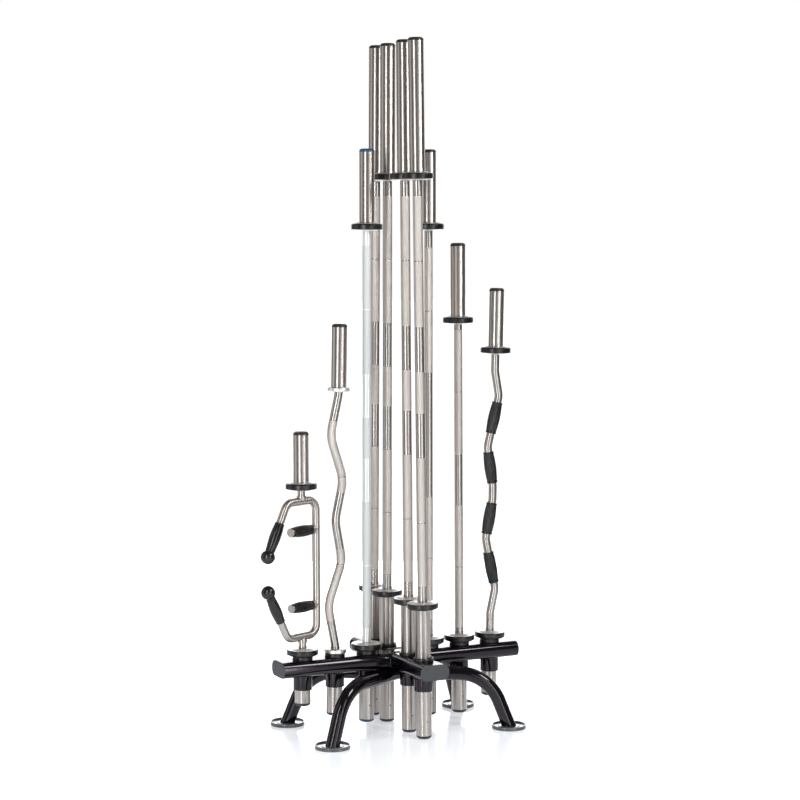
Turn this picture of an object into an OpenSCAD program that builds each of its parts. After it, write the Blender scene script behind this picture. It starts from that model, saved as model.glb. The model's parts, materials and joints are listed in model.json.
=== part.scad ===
// Floor stand that stores ten barbells upright.
// Two flat-oval tubes cross and stand on four bent legs. Ten sockets run down through the tubes,
// and each bar stands in its socket: a short sleeve hangs by its flange on the socket's collar,
// and a sleeve longer than the collar is high stands on the floor.
// The origin is on the floor, in the middle of the stand's and the bars' box, which the multi-grip
// bar makes wider on the left. +X runs along the long beam and +Y to the rear.

/* [Beams] */
// Width of the flat-oval tube
beam_w = 100; // [84:1:110]
// Height of the flat-oval tube
beam_h = 50; // [45:1:60]
// Corner radius of the flat-oval tube
beam_round = 22; // [18:0.5:22]
// Wall of the flat-oval tube
beam_wall = 3; // [2:0.5:4]
// Height of the tubes' underside above the floor
beam_under = 200; // [185:1:230]
// Distance from the last socket of the long beam to that beam's end
long_end = 85; // [60:1:120]
// Distance from the outer socket of a cross arm to that arm's end
arm_end = 82.5; // [60:0.5:120]
// Thickness of an end cap's face
end_cap_t = 4; // [2:0.5:6]
// Depth of the plug that holds an end cap in its tube
end_plug_l = 16; // [8:1:20]
// Wall of that plug
end_plug_wall = 3; // [2:0.5:5]

/* [Legs] */
// Diameter of a leg's tube
leg_d = 45; // [38:0.5:48]
// Wall of a leg's tube
leg_wall = 2.5; // [1.5:0.5:4]
// Distance from the crossing's centre to a foot's centre
leg_reach = 360; // [330:1:420]
// Slope of a leg's lower end, from level
leg_slope = 68; // [60:1:76]
// Bend radius of a leg, on its axis
leg_bend = 140; // [110:1:160]
// Room between a leg and the nearest socket
leg_room = 3; // [1:0.5:6]

/* [Feet] */
// Diameter of a foot
foot_d = 112; // [96:1:130]
// Height of a foot's rim
foot_h = 12; // [11:0.5:16]
// Height of the pad that a leg stands on
foot_pad_h = 8; // [6:0.5:10]
// Diameter of that pad
foot_pad_d = 66; // [60:1:74]
// Width of the rim on top
foot_rim_w = 4; // [2:0.5:5]
// Bevel under the foot, on the edge that meets the floor
foot_bevel = 1.5; // [0.5:0.25:3]
// Depth and half width of the groove round its side, and the bevel on top of its rim
foot_groove = 1; // [0.5:0.25:1.5]
// Depth of the dish round the pad
foot_dish = 2; // [1:0.5:3]

/* [Sockets] */
// Spacing of the six sockets along the long beam
long_pitch = 112; // [108:0.5:125]
// Room between the long beam's side and the inner socket of a cross arm
arm_room = 3; // [2:0.5:12]
// Spacing of the two sockets on a cross arm
arm_pitch = 102.5; // [102:0.5:115]
// Outer diameter of a socket's steel tube
socket_d = 60; // [59:0.5:62]
// Wall of that tube
socket_wall = 2; // [1.5:0.25:2.5]
// How far a socket reaches below the beams
socket_drop = 46; // [30:1:60]
// Bore of the plastic liner
liner_bore = 53; // [52.5:0.25:53.5]
// Diameter of the liner's collar on top of the beam
collar_d = 64; // [62:0.5:70]
// Height of that collar
collar_h = 10; // [6:0.5:14]
// Width of the lead-in at the liner's mouth
collar_lead = 1.5; // [0.5:0.25:2.5]

/* [Sleeves] */
// Diameter of a bar's sleeve
sleeve_d = 50; // [49:0.25:50.5]
// Diameter of the journal that a sleeve turns on
journal_d = 22; // [20:0.5:24]
// Outer diameter of a sleeve's bearings
bearing_d = 36; // [34:0.5:40]
// Length of a bearing
bearing_l = 30; // [20:1:36]
// Height of an end cap that shows
cap_t = 10; // [8:0.5:14]
// Rounding of an end cap's edge
cap_round = 5; // [2:0.5:7]
// Depth of an end cap's plug
cap_plug_l = 12; // [8:0.5:16]
// Wall of an end cap's plug
cap_plug_wall = 3; // [2:0.5:4]
// Diameter of the pin hole in a sleeve's side
pin_d = 4.5; // [3:0.5:6]
// Depth of that hole
pin_depth = 2.5; // [1:0.5:4]
// Distance of the hole from the sleeve's end cap
pin_up = 46; // [40:1:60]
// Thickness of a retaining ring
ring_t = 1.5; // [1:0.25:2]
// Outer diameter of a retaining ring
ring_d = 31; // [28:0.5:32]

/* [Flanges] */
// Diameter over the rim of a flange
flange_d = 100; // [90:1:101]
// Radial width of the rim
rim_w = 8; // [6:0.5:11]
// Height of the rim's outer face
rim_h = 13; // [8:0.5:16]
// Height of the rim where it meets the steel hub
rim_root_h = 19; // [16:0.5:22]
// Width of the flat ring on each face of the rim, before it slopes to its outer face
rim_flat = 2.5; // [1:0.5:4]
// Height of the steel hub
hub_h = 27; // [22:0.5:32]
// Diameter of the hub's flat ends
hub_end_d = 60; // [54:1:66]
// Thickness of the lip that covers the inner bearing
hub_lip = 3; // [2:0.5:5]

/* [Long bars] */
// Length of a long bar
long_bar_l = 2200; // [2000:5:2300]
// Length of its sleeve below the flange
long_sleeve = 412; // [330:1:440]
// Diameter of its shaft
long_shaft_d = 31; // [27:0.5:33]
// Lean of the front outer bar towards +X, in degrees
front_outer_lean = -0.83; // [-1.2:0.01:1.2]
// Lean of the front inner bar
front_inner_lean = -0.55; // [-1.2:0.01:1.2]
// Lean of the rear inner bar
rear_inner_lean = 0.10; // [-1.2:0.01:1.2]
// Lean of the rear outer bar
rear_outer_lean = 0.37; // [-1.2:0.01:1.2]

/* [Straight bars] */
// Length of the two six-foot bars
straight_bar_l = 1834; // [1600:2:2000]
// Length of their sleeves below the flange
straight_sleeve = 232; // [180:1:250]
// Length of the short straight bar
short_bar_l = 1538; // [1300:2:1700]
// Length of its sleeves below the flange
short_sleeve = 235; // [180:1:250]
// Diameter of these three bars' shafts
straight_shaft_d = 28; // [25:0.5:32]
// Lean of the left six-foot bar
left_straight_lean = 0.13; // [-1.2:0.01:1.2]
// Lean of the right six-foot bar
right_straight_lean = -0.11; // [-1.2:0.01:1.2]
// Lean of the short straight bar
short_lean = -0.37; // [-1.2:0.01:1.2]

/* [Curl bar] */
// Length of the plain curl bar
curl_bar_l = 1251; // [1150:1:1400]
// Length of its sleeves below the flange
curl_sleeve = 200; // [150:1:240]
// Diameter of its plain flanges
curl_flange_d = 71; // [66:1:90]
// Thickness of its plain flanges
curl_flange_t = 14; // [10:0.5:20]
// Rounding of its plain flanges
curl_flange_round = 4; // [2:0.5:4.5]
// Sideways reach of the outer bends
curl_outer_x = -27; // [-34:1:-10]
// Distance of the outer bends from the bar's middle
curl_outer_z = 270; // [250:1:300]
// Sideways reach of the inner bends
curl_inner_x = 20; // [8:1:30]
// Distance of the inner bends from the bar's middle
curl_inner_z = 131; // [110:1:150]
// Sideways reach of the middle bend
curl_middle_x = -6; // [-12:1:0]
// Lean of the plain curl bar
curl_lean = 1.02; // [-1.2:0.01:1.2]

/* [Gripped curl bar] */
// Length of the curl bar with rubber grips
gripped_bar_l = 1344; // [1280:1:1500]
// Length of its sleeves below the flange
gripped_sleeve = 189; // [150:1:240]
// Sideways reach of its outer bends
gripped_outer_x = 16; // [8:1:24]
// Distance of its outer bends from the bar's middle
gripped_outer_z = 319; // [314:1:330]
// Sideways reach of its inner bends
gripped_inner_x = -22; // [-30:1:-12]
// Distance of its inner bends from the bar's middle
gripped_inner_z = 152; // [148:1:156]
// Half the length of its straight middle
gripped_middle_z = 22; // [16:1:26]
// Distance from the bar's middle to the near end of an inner grip
inner_grip_z = 33; // [30:1:36]
// Distance from the bar's middle to the near end of an outer grip
outer_grip_z = 196; // [190:1:202]
// Length of a curl bar's grip
curl_grip_l = 104; // [80:1:108]
// Diameter of a curl bar's grip at its middle
curl_grip_d = 39; // [34:0.5:44]
// Height of the band at each end of such a grip
grip_band_h = 1.5; // [0.5:0.25:2.5]
// Width of that band
grip_band_w = 6; // [3:0.5:9]
// Diameter of the two curl bars' shafts
curl_shaft_d = 28; // [25:0.5:30]
// Lean of the gripped curl bar
gripped_lean = 1.10; // [-1.2:0.01:1.2]

/* [Multi-grip bar] */
// Length of the multi-grip bar
multi_bar_l = 874; // [820:1:960]
// Length of its sleeves below the flange
multi_sleeve = 158.5; // [140:0.5:180]
// Diameter of its frame's tube
multi_tube_d = 25.5; // [25.5:0.5:27.5]
// Diameter of its necks, between the frame and the flanges
multi_neck_d = 25; // [22:0.5:25]
// Diameter of its level handles
multi_rod_d = 24; // [22:0.5:25]
// Height of its frame, between the axes of the cross tubes
multi_frame_h = 432; // [420:1:450]
// Distance from the bar's axis to the frame's back tube
multi_back_x = 65; // [56:1:68]
// Distance from the bar's axis to the corner of the slanting handles
multi_front_x = 64; // [56:1:74]
// Distance from the bar's axis to the middle of a ball end
multi_ball_x = 150; // [130:1:156]
// Distance of a ball end from the frame's mid-height
multi_ball_z = 56; // [40:1:70]
// Diameter of a ball end
multi_ball_d = 45; // [36:1:50]
// Distance of a level handle from the frame's mid-height
multi_handle_z = 121; // [100:1:130]
// Distance from the bar's axis to a level handle's free end
multi_handle_x = 52; // [46:1:60]
// Length of the grips on the level handles
level_grip_l = 86; // [70:1:88]
// Length of the grips on the slanting handles
slant_grip_l = 89; // [76:1:100]
// Diameter of these grips at their middle
multi_grip_d = 36; // [32:0.5:40]
// Diameter of the steel rings beside a level grip, of which the outer one ends the handle
handle_ring_d = 28; // [27:0.5:34]
// Width of these rings
handle_ring_w = 6; // [4:0.5:8]
// Diameter of the neck between a ball end and its grip
ball_neck_d = 30; // [28:0.5:34]
// Turn of the frame about its bar, seen from above
multi_turn = 22; // [15:1:40]
// Lean of the multi-grip bar
multi_lean = -0.20; // [-1.2:0.01:1.2]

/* [Fits] */
// Gap at a welded seam between two pieces
weld_gap = 0.2; // [0.1:0.05:0.3]
// Gap between a socket's tube and its liner, and between a plug and its tube
plug_gap = 0.2; // [0.1:0.05:0.4]
// Radial gap between a bearing and the journal or the sleeve
bearing_gap = 0.05; // [0.03:0.01:0.08]
// End play of a bearing in its seat
end_play = 0.4; // [0.2:0.1:0.6]
// Height at which a flange rests above its collar, and a long bar above the floor
rest_gap = 0.3; // [0.2:0.1:0.5]
// Radial gap between a shaft and the lip of its flange
lip_gap = 0.5; // [0.3:0.1:0.8]
// Radial gap between a grip and the tube inside it
grip_gap = 0.1; // [0.05:0.05:0.2]
// Radial gap between a flange's rim and its hub
rim_gap = 0.04; // [0.02:0.01:0.08]
// Radial gap between a retaining ring and its groove
ring_gap = 0.1; // [0.05:0.05:0.2]

/* [Hidden] */
$fn = 72;
beam_top = beam_under + beam_h;
collar_top = beam_top + collar_h;
socket_foot = beam_under - socket_drop;
pivot_z = (socket_foot + collar_top) / 2;
liner_d = socket_d - 2 * socket_wall - 2 * plug_gap;
arm_first = beam_w / 2 + arm_room + socket_d / 2;
long_reach = 3 * long_pitch + long_end;
arm_reach = arm_first + arm_pitch + arm_end;
leg_z = beam_under - weld_gap - leg_d / 2;
leg_turn = asin((leg_d / 2 + socket_d / 2 + leg_room) / long_pitch);
leg_corner = leg_reach - (leg_z - foot_pad_h) / tan(leg_slope);
cross_x = (3 * long_pitch + multi_ball_x * cos(multi_turn) + multi_ball_d / 2 - long_reach) / 2;
SIDES = [-1, 1];

// A bend is this much thicker than its straight stretches, which run this far into it.
bend_step = 0.05;
bend_lap = 1;
// Bend radius of the curl bars, and of the multi-grip bar's frame
curl_bend = 60;
multi_bend = 35;
// How far a journal runs into the shaft that it is turned on
journal_root = 5;
// How deep a ring's groove is
ring_groove = 1.2;
// Length of tube inside a ball end, measured from the ball's surface
ball_grip = 10;
// How much thinner a grip's ends are than its middle
grip_taper = 7;
// A fluted grip has this many grooves, cut by rods that lie this far outside its middle.
grip_flutes = 18;
flute_r = 2;
flute_out = 0.7;
// Distance between a grip and the next piece on its handle, and from a ring to the frame's tube
grip_room = 1;
// How far the weld collar on a neck reaches below the cross tube, and how much thicker it is
neck_collar_l = 6;
neck_collar_step = 5;

// Each row is a bar: name, x, y, length, sleeve, shaft diameter, lean, flange height.
BARS = [
    ["multi_grip_bar", -3 * long_pitch, 0, multi_bar_l, multi_sleeve, multi_neck_d, multi_lean, hub_h],
    ["curl_bar", -2 * long_pitch, 0, curl_bar_l, curl_sleeve, curl_shaft_d, curl_lean, curl_flange_t],
    ["left_straight_bar", -long_pitch, 0, straight_bar_l, straight_sleeve, straight_shaft_d,
        left_straight_lean, hub_h],
    ["right_straight_bar", long_pitch, 0, straight_bar_l, straight_sleeve, straight_shaft_d,
        right_straight_lean, hub_h],
    ["short_bar", 2 * long_pitch, 0, short_bar_l, short_sleeve, straight_shaft_d, short_lean, hub_h],
    ["gripped_curl_bar", 3 * long_pitch, 0, gripped_bar_l, gripped_sleeve, curl_shaft_d,
        gripped_lean, hub_h],
    ["front_outer_bar", 0, -arm_first - arm_pitch, long_bar_l, long_sleeve, long_shaft_d,
        front_outer_lean, hub_h],
    ["front_inner_bar", 0, -arm_first, long_bar_l, long_sleeve, long_shaft_d, front_inner_lean, hub_h],
    ["rear_inner_bar", 0, arm_first, long_bar_l, long_sleeve, long_shaft_d, rear_inner_lean, hub_h],
    ["rear_outer_bar", 0, arm_first + arm_pitch, long_bar_l, long_sleeve, long_shaft_d,
        rear_outer_lean, hub_h]
];
PIECES = ["shaft", "lower_sleeve", "lower_trim", "upper_sleeve", "upper_trim"];
RACK = ["long_beam", "front_arm", "rear_arm", "beam_end_caps", "legs", "feet", "socket_tubes",
    "socket_liners"];

function name_of(bar) = bar[0];
function length_of(bar) = bar[3];
function sleeve_of(bar) = bar[4];
function shaft_r(bar) = bar[5] / 2;
function lean_of(bar) = bar[6];
function flange_h(bar) = bar[7];
// Height up the bar at which the full shaft starts, above its lower journal
function shaft_foot(bar) = sleeve_of(bar) + flange_h(bar) - hub_lip + end_play / 2;

// How far up the bar, from its lower end, the middle of the socket lies: the bar sinks until its
// flange meets the collar or its end meets the floor, whichever comes first.
function seated(bar) = sleeve_of(bar)
    - (collar_top - pivot_z + rest_gap + collar_d / 2 * sin(abs(lean_of(bar)))) / cos(lean_of(bar));
function standing(bar) =
    (pivot_z - rest_gap - sleeve_d / 2 * sin(abs(lean_of(bar)))) / cos(lean_of(bar));
function sunk(bar) = min(seated(bar), standing(bar));

// A bar that stands on the floor has moved sideways, the way it leans, until it meets its liner.
function room(bar) = liner_bore / 2 - rest_gap - sleeve_d / 2 / cos(lean_of(bar))
    - (collar_top - collar_lead - pivot_z) * tan(abs(lean_of(bar)));
function drift(bar) = seated(bar) < standing(bar) ? 0 : (lean_of(bar) < 0 ? -1 : 1) * room(bar);

// Places what is drawn about the crossing of the beams.
module at_crossing() {
    translate([cross_x, 0, 0])
        children();
}

// Places a bar's own frame, whose Z runs up the bar from its lower end, in its socket.
module in_socket(bar) {
    translate([cross_x + bar[1] + drift(bar), bar[2], pivot_z])
        rotate([0, lean_of(bar), 0])
            translate([0, 0, -sunk(bar)])
                children();
}

// Draws the same thing at the lower or the upper end of a bar.
module at_end(bar, upper) {
    in_socket(bar)
        translate([0, 0, upper ? length_of(bar) : 0])
            mirror([0, 0, upper ? 1 : 0])
                children();
}

// Flat-oval outline of the tubes, drawn in by inset all round.
module flat_oval(inset) {
    half_w = beam_w / 2 - inset;
    half_h = beam_h / 2 - inset;
    corner_r = beam_round - inset;
    square([2 * half_w, 2 * (half_h - corner_r)], center = true);
    square([2 * (half_w - corner_r), 2 * half_h], center = true);
    for (x = SIDES, y = SIDES)
        translate([x * (half_w - corner_r), y * (half_h - corner_r)])
            circle(r = corner_r);
}

// Length of flat-oval bar along +Y from y = from to y = to, at the beams' height.
module oval_run(from, to, inset) {
    translate([0, from, beam_under + beam_h / 2])
        rotate([-90, 0, 0])
            linear_extrude(to - from)
                flat_oval(inset);
}

module oval_tube(from, to) {
    difference() {
        oval_run(from, to, 0);
        oval_run(from - 1, to + 1, beam_wall);
    }
}

module socket_holes() {
    for (bar = BARS)
        translate([bar[1], bar[2], beam_under - 1])
            cylinder(d = socket_d + 2 * weld_gap, h = beam_h + 2);
}

// Straight rod in the XZ plane between two points.
module rod(a, b, r) {
    run = b - a;
    translate([a[0], 0, a[1]])
        rotate([0, atan2(run[0], run[1]), 0])
            cylinder(r = r, h = norm(run));
}

function unit(v) = v / norm(v);
function turn_at(path, i) = let (d = path[i] - path[i - 1], e = path[i + 1] - path[i])
    atan2(d[0] * e[1] - d[1] * e[0], d * e);
function tangent_at(path, i, bend_r) = bend_r * tan(abs(turn_at(path, i)) / 2);
function trimmed_at(path, i, bend_r) =
    i == 0 || i == len(path) - 1 ? 0 : tangent_at(path, i, bend_r) - bend_lap;

// Rod bent along a path in the XZ plane, with every inner corner rounded to bend_r.
module bent_rod(path, bend_r, r) {
    for (i = [0:len(path) - 2]) {
        way = unit(path[i + 1] - path[i]);
        rod(path[i] + way * trimmed_at(path, i, bend_r),
            path[i + 1] - way * trimmed_at(path, i + 1, bend_r), r);
    }
    for (i = [1:1:len(path) - 2]) {
        way = unit(path[i] - path[i - 1]);
        turn = turn_at(path, i);
        side = turn > 0 ? 1 : -1;
        centre = path[i] - way * tangent_at(path, i, bend_r) + side * bend_r * [-way[1], way[0]];
        heading = atan2(way[1], way[0]);
        translate([centre[0], 0, centre[1]])
            rotate([90, 0, 0])
                rotate([0, 0, heading - side * 90 + min(turn, 0)])
                    rotate_extrude(angle = abs(turn))
                        translate([bend_r, 0])
                            circle(r = r + bend_step);
    }
}

// Grip along +Z with a bore. Its side swells smoothly by grip_taper towards the middle, a band of
// the given height ends it, and its flutes fade out where the swell falls away.
module barrel_grip(l, middle_d, bore_d, band_h, flutes) {
    steps = 10;
    end_r = (middle_d - grip_taper) / 2;
    band = [[end_r + band_h, 0], [end_r + band_h, grip_band_w]];
    side = [for (i = [1:steps - 1]) [end_r + grip_taper / 2 * sin(180 * i / steps), l * i / steps]];
    foot = [end_r, grip_band_w + band_h / 2];
    difference() {
        rotate_extrude()
            polygon(concat([[bore_d / 2, 0]], band, [foot], side, [[foot[0], l - foot[1]]],
                [for (i = [1, 0]) [band[i][0], l - band[i][1]]], [[bore_d / 2, l]]));
        for (i = [1:1:flutes])
            rotate([0, 0, 360 * (i - 0.5) / flutes])
                translate([middle_d / 2 + flute_out, 0, -1])
                    cylinder(r = flute_r, h = l + 2, $fn = 16);
    }
}

module long_beam() {
    color("#17171a")
        at_crossing()
            difference() {
                rotate([0, 0, 90])
                    oval_tube(-long_reach + end_cap_t, long_reach - end_cap_t);
                socket_holes();
            }
}

// Cross arm along +Y whose inner end is cut to the long beam's side.
module cross_arm() {
    difference() {
        oval_tube(0, arm_reach - end_cap_t);
        rotate([0, 0, 90])
            oval_run(-beam_w, beam_w, -weld_gap);
        socket_holes();
    }
}

module front_arm() {
    color("#17171a")
        at_crossing()
            mirror([0, 1, 0])
                cross_arm();
}

module rear_arm() {
    color("#17171a")
        at_crossing()
            cross_arm();
}

// Cap for a tube's end, along +Y, with its plug pointing back into the tube.
module tube_cap(reach) {
    oval_run(reach - end_cap_t, reach, 0);
    difference() {
        oval_run(reach - end_cap_t - end_plug_l, reach - end_cap_t, beam_wall + plug_gap);
        oval_run(reach - end_cap_t - end_plug_l - 1, reach - end_cap_t,
            beam_wall + plug_gap + end_plug_wall);
    }
}

module beam_end_caps() {
    color("#414447")
        at_crossing()
            for (turn = [0, 180]) {
                rotate([0, 0, turn])
                    tube_cap(arm_reach);
                rotate([0, 0, turn + 90])
                    tube_cap(long_reach);
            }
}

// Leg in the XZ plane: level under the beams, then bent down to its foot.
module leg_run(r) {
    way = [cos(leg_slope), -sin(leg_slope)];
    bent_rod([[-leg_d, leg_z], [leg_corner, leg_z], [leg_reach, foot_pad_h] + leg_d * way], leg_bend, r);
}

module legs() {
    color("#17171a")
        at_crossing()
            for (side = SIDES, end = SIDES)
                scale([side, end, 1])
                    intersection() {
                        rotate([0, 0, leg_turn])
                            difference() {
                                leg_run(leg_d / 2);
                                leg_run(leg_d / 2 - leg_wall);
                            }
                        translate([weld_gap / 2, weld_gap / 2, foot_pad_h + weld_gap])
                            cube([leg_reach + foot_d, leg_reach + foot_d, beam_under]);
                    }
}

module feet() {
    edge = foot_d / 2;
    inside = edge - foot_rim_w;
    pad = foot_pad_d / 2;
    groove = foot_h / 2;
    dish_z = foot_pad_h - foot_dish;
    color("#3a3c3f")
        at_crossing()
            for (side = SIDES, end = SIDES)
                translate([side * leg_reach * cos(leg_turn), end * leg_reach * sin(leg_turn), 0])
                    rotate_extrude()
                        polygon([[0, 0], [edge - foot_bevel, 0], [edge, foot_bevel],
                            [edge, groove - foot_groove], [edge - foot_groove, groove],
                            [edge, groove + foot_groove], [edge, foot_h - foot_groove],
                            [edge - foot_groove, foot_h], [inside, foot_h],
                            [inside - foot_dish, dish_z + foot_dish / 2],
                            [pad + foot_dish, dish_z], [pad, foot_pad_h],
                            [0, foot_pad_h]]);
}

module socket_tubes() {
    color("#17171a")
        at_crossing()
            for (bar = BARS)
                translate([bar[1], bar[2], socket_foot])
                    difference() {
                        cylinder(d = socket_d, h = socket_drop + beam_h - weld_gap);
                        translate([0, 0, -1])
                            cylinder(d = socket_d - 2 * socket_wall, h = socket_drop + beam_h + 2);
                    }
}

module socket_liners() {
    rise = socket_drop + beam_h;
    color("#202124")
        at_crossing()
            for (bar = BARS)
                translate([bar[1], bar[2], socket_foot])
                    rotate_extrude()
                        polygon([[liner_bore / 2, 0], [liner_d / 2, 0], [liner_d / 2, rise],
                            [collar_d / 2, rise], [collar_d / 2, rise + collar_h - 1],
                            [collar_d / 2 - 1, rise + collar_h],
                            [liner_bore / 2 + collar_lead, rise + collar_h],
                            [liner_bore / 2, rise + collar_h - collar_lead]]);
}

// Heights up a sleeve from the bar's end: the retaining ring, then the outer bearing's seat.
ring_foot = cap_t + cap_plug_l + 6;
seat_foot = ring_foot + ring_t;
seat_r = bearing_d / 2;
well_r = seat_r + 1;
between_r = seat_r - 2;

// Half outline of a disc with rounded edges, standing on z = 0.
module rounded_disc(r, h, edge_r) {
    square([r - edge_r, h]);
    translate([0, edge_r])
        square([r, h - 2 * edge_r]);
    for (z = [edge_r, h - edge_r])
        translate([r - edge_r, z])
            circle(r = edge_r);
}

// Half outline of a flange's steel hub: a disc that thins towards its rim.
module hub_outline() {
    edge = flange_d / 2 - rim_w;
    polygon([[0, 0], [hub_end_d / 2, 0], [edge, (hub_h - rim_root_h) / 2],
        [edge, (hub_h + rim_root_h) / 2], [hub_end_d / 2, hub_h], [0, hub_h]]);
}

// Half outline of a sleeve's inside: the cap's well, two bearing seats and the lip at the top.
module bore_outline(bar) {
    top = sleeve_of(bar) + flange_h(bar);
    lip = top - hub_lip;
    seat_l = bearing_l + end_play;
    lip_r = shaft_r(bar) + lip_gap;
    polygon([[0, cap_t - 1], [well_r, cap_t - 1], [well_r, seat_foot], [seat_r, seat_foot],
        [seat_r, seat_foot + seat_l], [between_r, seat_foot + seat_l], [between_r, lip - seat_l],
        [seat_r, lip - seat_l], [seat_r, lip], [lip_r, lip], [lip_r, top + 1], [0, top + 1]]);
}

module bearing() {
    difference() {
        cylinder(r = seat_r - bearing_gap, h = bearing_l);
        translate([0, 0, -1])
            cylinder(r = journal_d / 2 + bearing_gap, h = bearing_l + 2);
    }
}

// Sleeve with its flange and two bearings, seen from the bar's end inwards. Its pin hole is at the
// front or at the rear, as pin_side is -1 or 1.
module sleeve(bar, pin_side) {
    base = sleeve_of(bar);
    color("#b9b7b1") {
        difference() {
            rotate_extrude()
                difference() {
                    union() {
                        translate([0, cap_t])
                            square([sleeve_d / 2, base - cap_t + flange_h(bar) / 2]);
                        translate([0, base])
                            if (flange_h(bar) == hub_h)
                                hub_outline();
                            else
                                rounded_disc(curl_flange_d / 2, curl_flange_t, curl_flange_round);
                    }
                    bore_outline(bar);
                }
            translate([0, pin_side * (sleeve_d / 2 - pin_depth), cap_t + pin_up])
                rotate([-90 * pin_side, 0, 0])
                    cylinder(d = pin_d, h = sleeve_d);
        }
        translate([0, 0, seat_foot + end_play / 2])
            bearing();
        translate([0, 0, shaft_foot(bar) - bearing_l - end_play])
            bearing();
    }
}

// End cap of a sleeve, with the plug that holds it.
module sleeve_cap() {
    cap_r = sleeve_d / 2 - plug_gap;
    rotate_extrude() {
        square([cap_r - cap_round, cap_t]);
        translate([0, cap_round])
            square([cap_r, cap_t - cap_round]);
        translate([cap_r - cap_round, cap_round])
            circle(r = cap_round);
        translate([well_r - plug_gap - cap_plug_wall, cap_t - 1])
            square([cap_plug_wall, cap_plug_l + 1]);
    }
}

// Rim of a flange, about z = 0.
module flange_rim() {
    root = flange_d / 2 - rim_w;
    rotate_extrude()
        polygon([[root + rim_gap, -rim_root_h / 2], [root + rim_flat, -rim_root_h / 2],
            [flange_d / 2, -rim_h / 2], [flange_d / 2, rim_h / 2],
            [root + rim_flat, rim_root_h / 2], [root + rim_gap, rim_root_h / 2]]);
}

// End cap, and the rim where the flange has one.
module trim(bar) {
    color(name_of(bar) == "left_straight_bar" ? "#2a5a7a" : "#1c1c1f")
        sleeve_cap();
    if (flange_h(bar) == hub_h)
        color("#1c1c1f")
            translate([0, 0, sleeve_of(bar) + hub_h / 2])
                flange_rim();
}

// Journal at the lower end of a shaft, up to the full shaft, with its ring's groove.
module journal(bar) {
    tip = cap_t + cap_plug_l + 1;
    r = journal_d / 2;
    groove_r = r - ring_groove;
    groove = [ring_foot - ring_gap, ring_foot + ring_t + ring_gap];
    root = shaft_foot(bar) + journal_root;
    rotate_extrude()
        polygon([[0, tip], [r - 1, tip], [r, tip + 1], [r, groove[0]], [groove_r, groove[0]],
            [groove_r, groove[1]], [r, groove[1]], [r, root], [0, root]]);
}

module retaining_ring() {
    translate([0, 0, ring_foot])
        difference() {
            cylinder(d = ring_d, h = ring_t);
            translate([0, 0, -1])
                cylinder(r = journal_d / 2 - ring_groove + ring_gap, h = ring_t + 2);
        }
}

function curl_path(bar) = let (mid = length_of(bar) / 2, out = mid - shaft_foot(bar)) [
    [0, mid - out], [0, mid - out + 12], [curl_outer_x, mid - curl_outer_z],
    [curl_inner_x, mid - curl_inner_z], [curl_middle_x, mid], [curl_inner_x, mid + curl_inner_z],
    [curl_outer_x, mid + curl_outer_z], [0, mid + out - 12], [0, mid + out]];
function gripped_path(bar) = let (mid = length_of(bar) / 2, out = mid - shaft_foot(bar)) [
    [0, mid - out], [0, mid - out + 60], [gripped_outer_x, mid - gripped_outer_z],
    [gripped_inner_x, mid - gripped_inner_z], [0, mid - gripped_middle_z],
    [0, mid + gripped_middle_z], [gripped_inner_x, mid + gripped_inner_z],
    [gripped_outer_x, mid + gripped_outer_z], [0, mid + out - 60], [0, mid + out]];

// Angle of a slanting handle from the bar's axis, and the length of its tube inside the ball end.
multi_slant = atan((multi_ball_x - multi_front_x) / (multi_frame_h / 2 - multi_ball_z));
ball_stop = multi_ball_d / 2 - ball_grip;
// Where a level grip starts, in front of its inner ring
level_grip_x = multi_back_x - multi_tube_d / 2 - handle_ring_w - 2 * grip_room;

// Frame of the multi-grip bar: one bent tube from ball to ball, two level handles and two necks.
module multi_frame(bar) {
    mid = length_of(bar) / 2;
    half = multi_frame_h / 2;
    stop = [-multi_ball_x + ball_stop * sin(multi_slant), multi_ball_z + ball_stop * cos(multi_slant)];
    rotate([0, 0, multi_turn]) {
        bent_rod([[stop[0], mid - stop[1]], [-multi_front_x, mid - half], [multi_back_x, mid - half],
            [multi_back_x, mid + half], [-multi_front_x, mid + half], [stop[0], mid + stop[1]]],
            multi_bend, multi_tube_d / 2);
        for (side = SIDES)
            translate([0, 0, mid + side * multi_handle_z]) {
                rod([multi_back_x, 0], [-multi_handle_x, 0], multi_rod_d / 2);
                for (x = [level_grip_x + grip_room, grip_room - multi_handle_x])
                    rod([x, 0], [x + handle_ring_w, 0], handle_ring_d / 2);
            }
    }
    for (side = SIDES)
        translate([0, 0, mid])
            mirror([0, 0, side > 0 ? 0 : 1]) {
                rod([0, half], [0, mid - shaft_foot(bar)], shaft_r(bar));
                rod([0, half], [0, half + multi_tube_d / 2 + neck_collar_l],
                    (multi_neck_d + neck_collar_step) / 2);
            }
}

module shaft_body(bar) {
    if (name_of(bar) == "multi_grip_bar")
        multi_frame(bar);
    else if (name_of(bar) == "curl_bar")
        bent_rod(curl_path(bar), curl_bend, shaft_r(bar));
    else if (name_of(bar) == "gripped_curl_bar")
        bent_rod(gripped_path(bar), curl_bend, shaft_r(bar));
    else
        rod([0, shaft_foot(bar)], [0, length_of(bar) - shaft_foot(bar)], shaft_r(bar));
}

// Shaft with a journal and a retaining ring at each end.
module shaft(bar) {
    color("#b4b1aa") {
        in_socket(bar)
            shaft_body(bar);
        for (upper = [false, true])
            at_end(bar, upper) {
                journal(bar);
                retaining_ring();
            }
    }
}

// Grip on a straight stretch from a to b in the XZ plane, starting at the given height.
module curl_grip(a, b, height) {
    way = unit(b - a);
    start = a + way * (height - a[1]) / way[1];
    translate([start[0], 0, start[1]])
        rotate([0, atan2(way[0], way[1]), 0])
            barrel_grip(curl_grip_l, curl_grip_d, curl_shaft_d + 2 * grip_gap, grip_band_h, 0);
}

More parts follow.
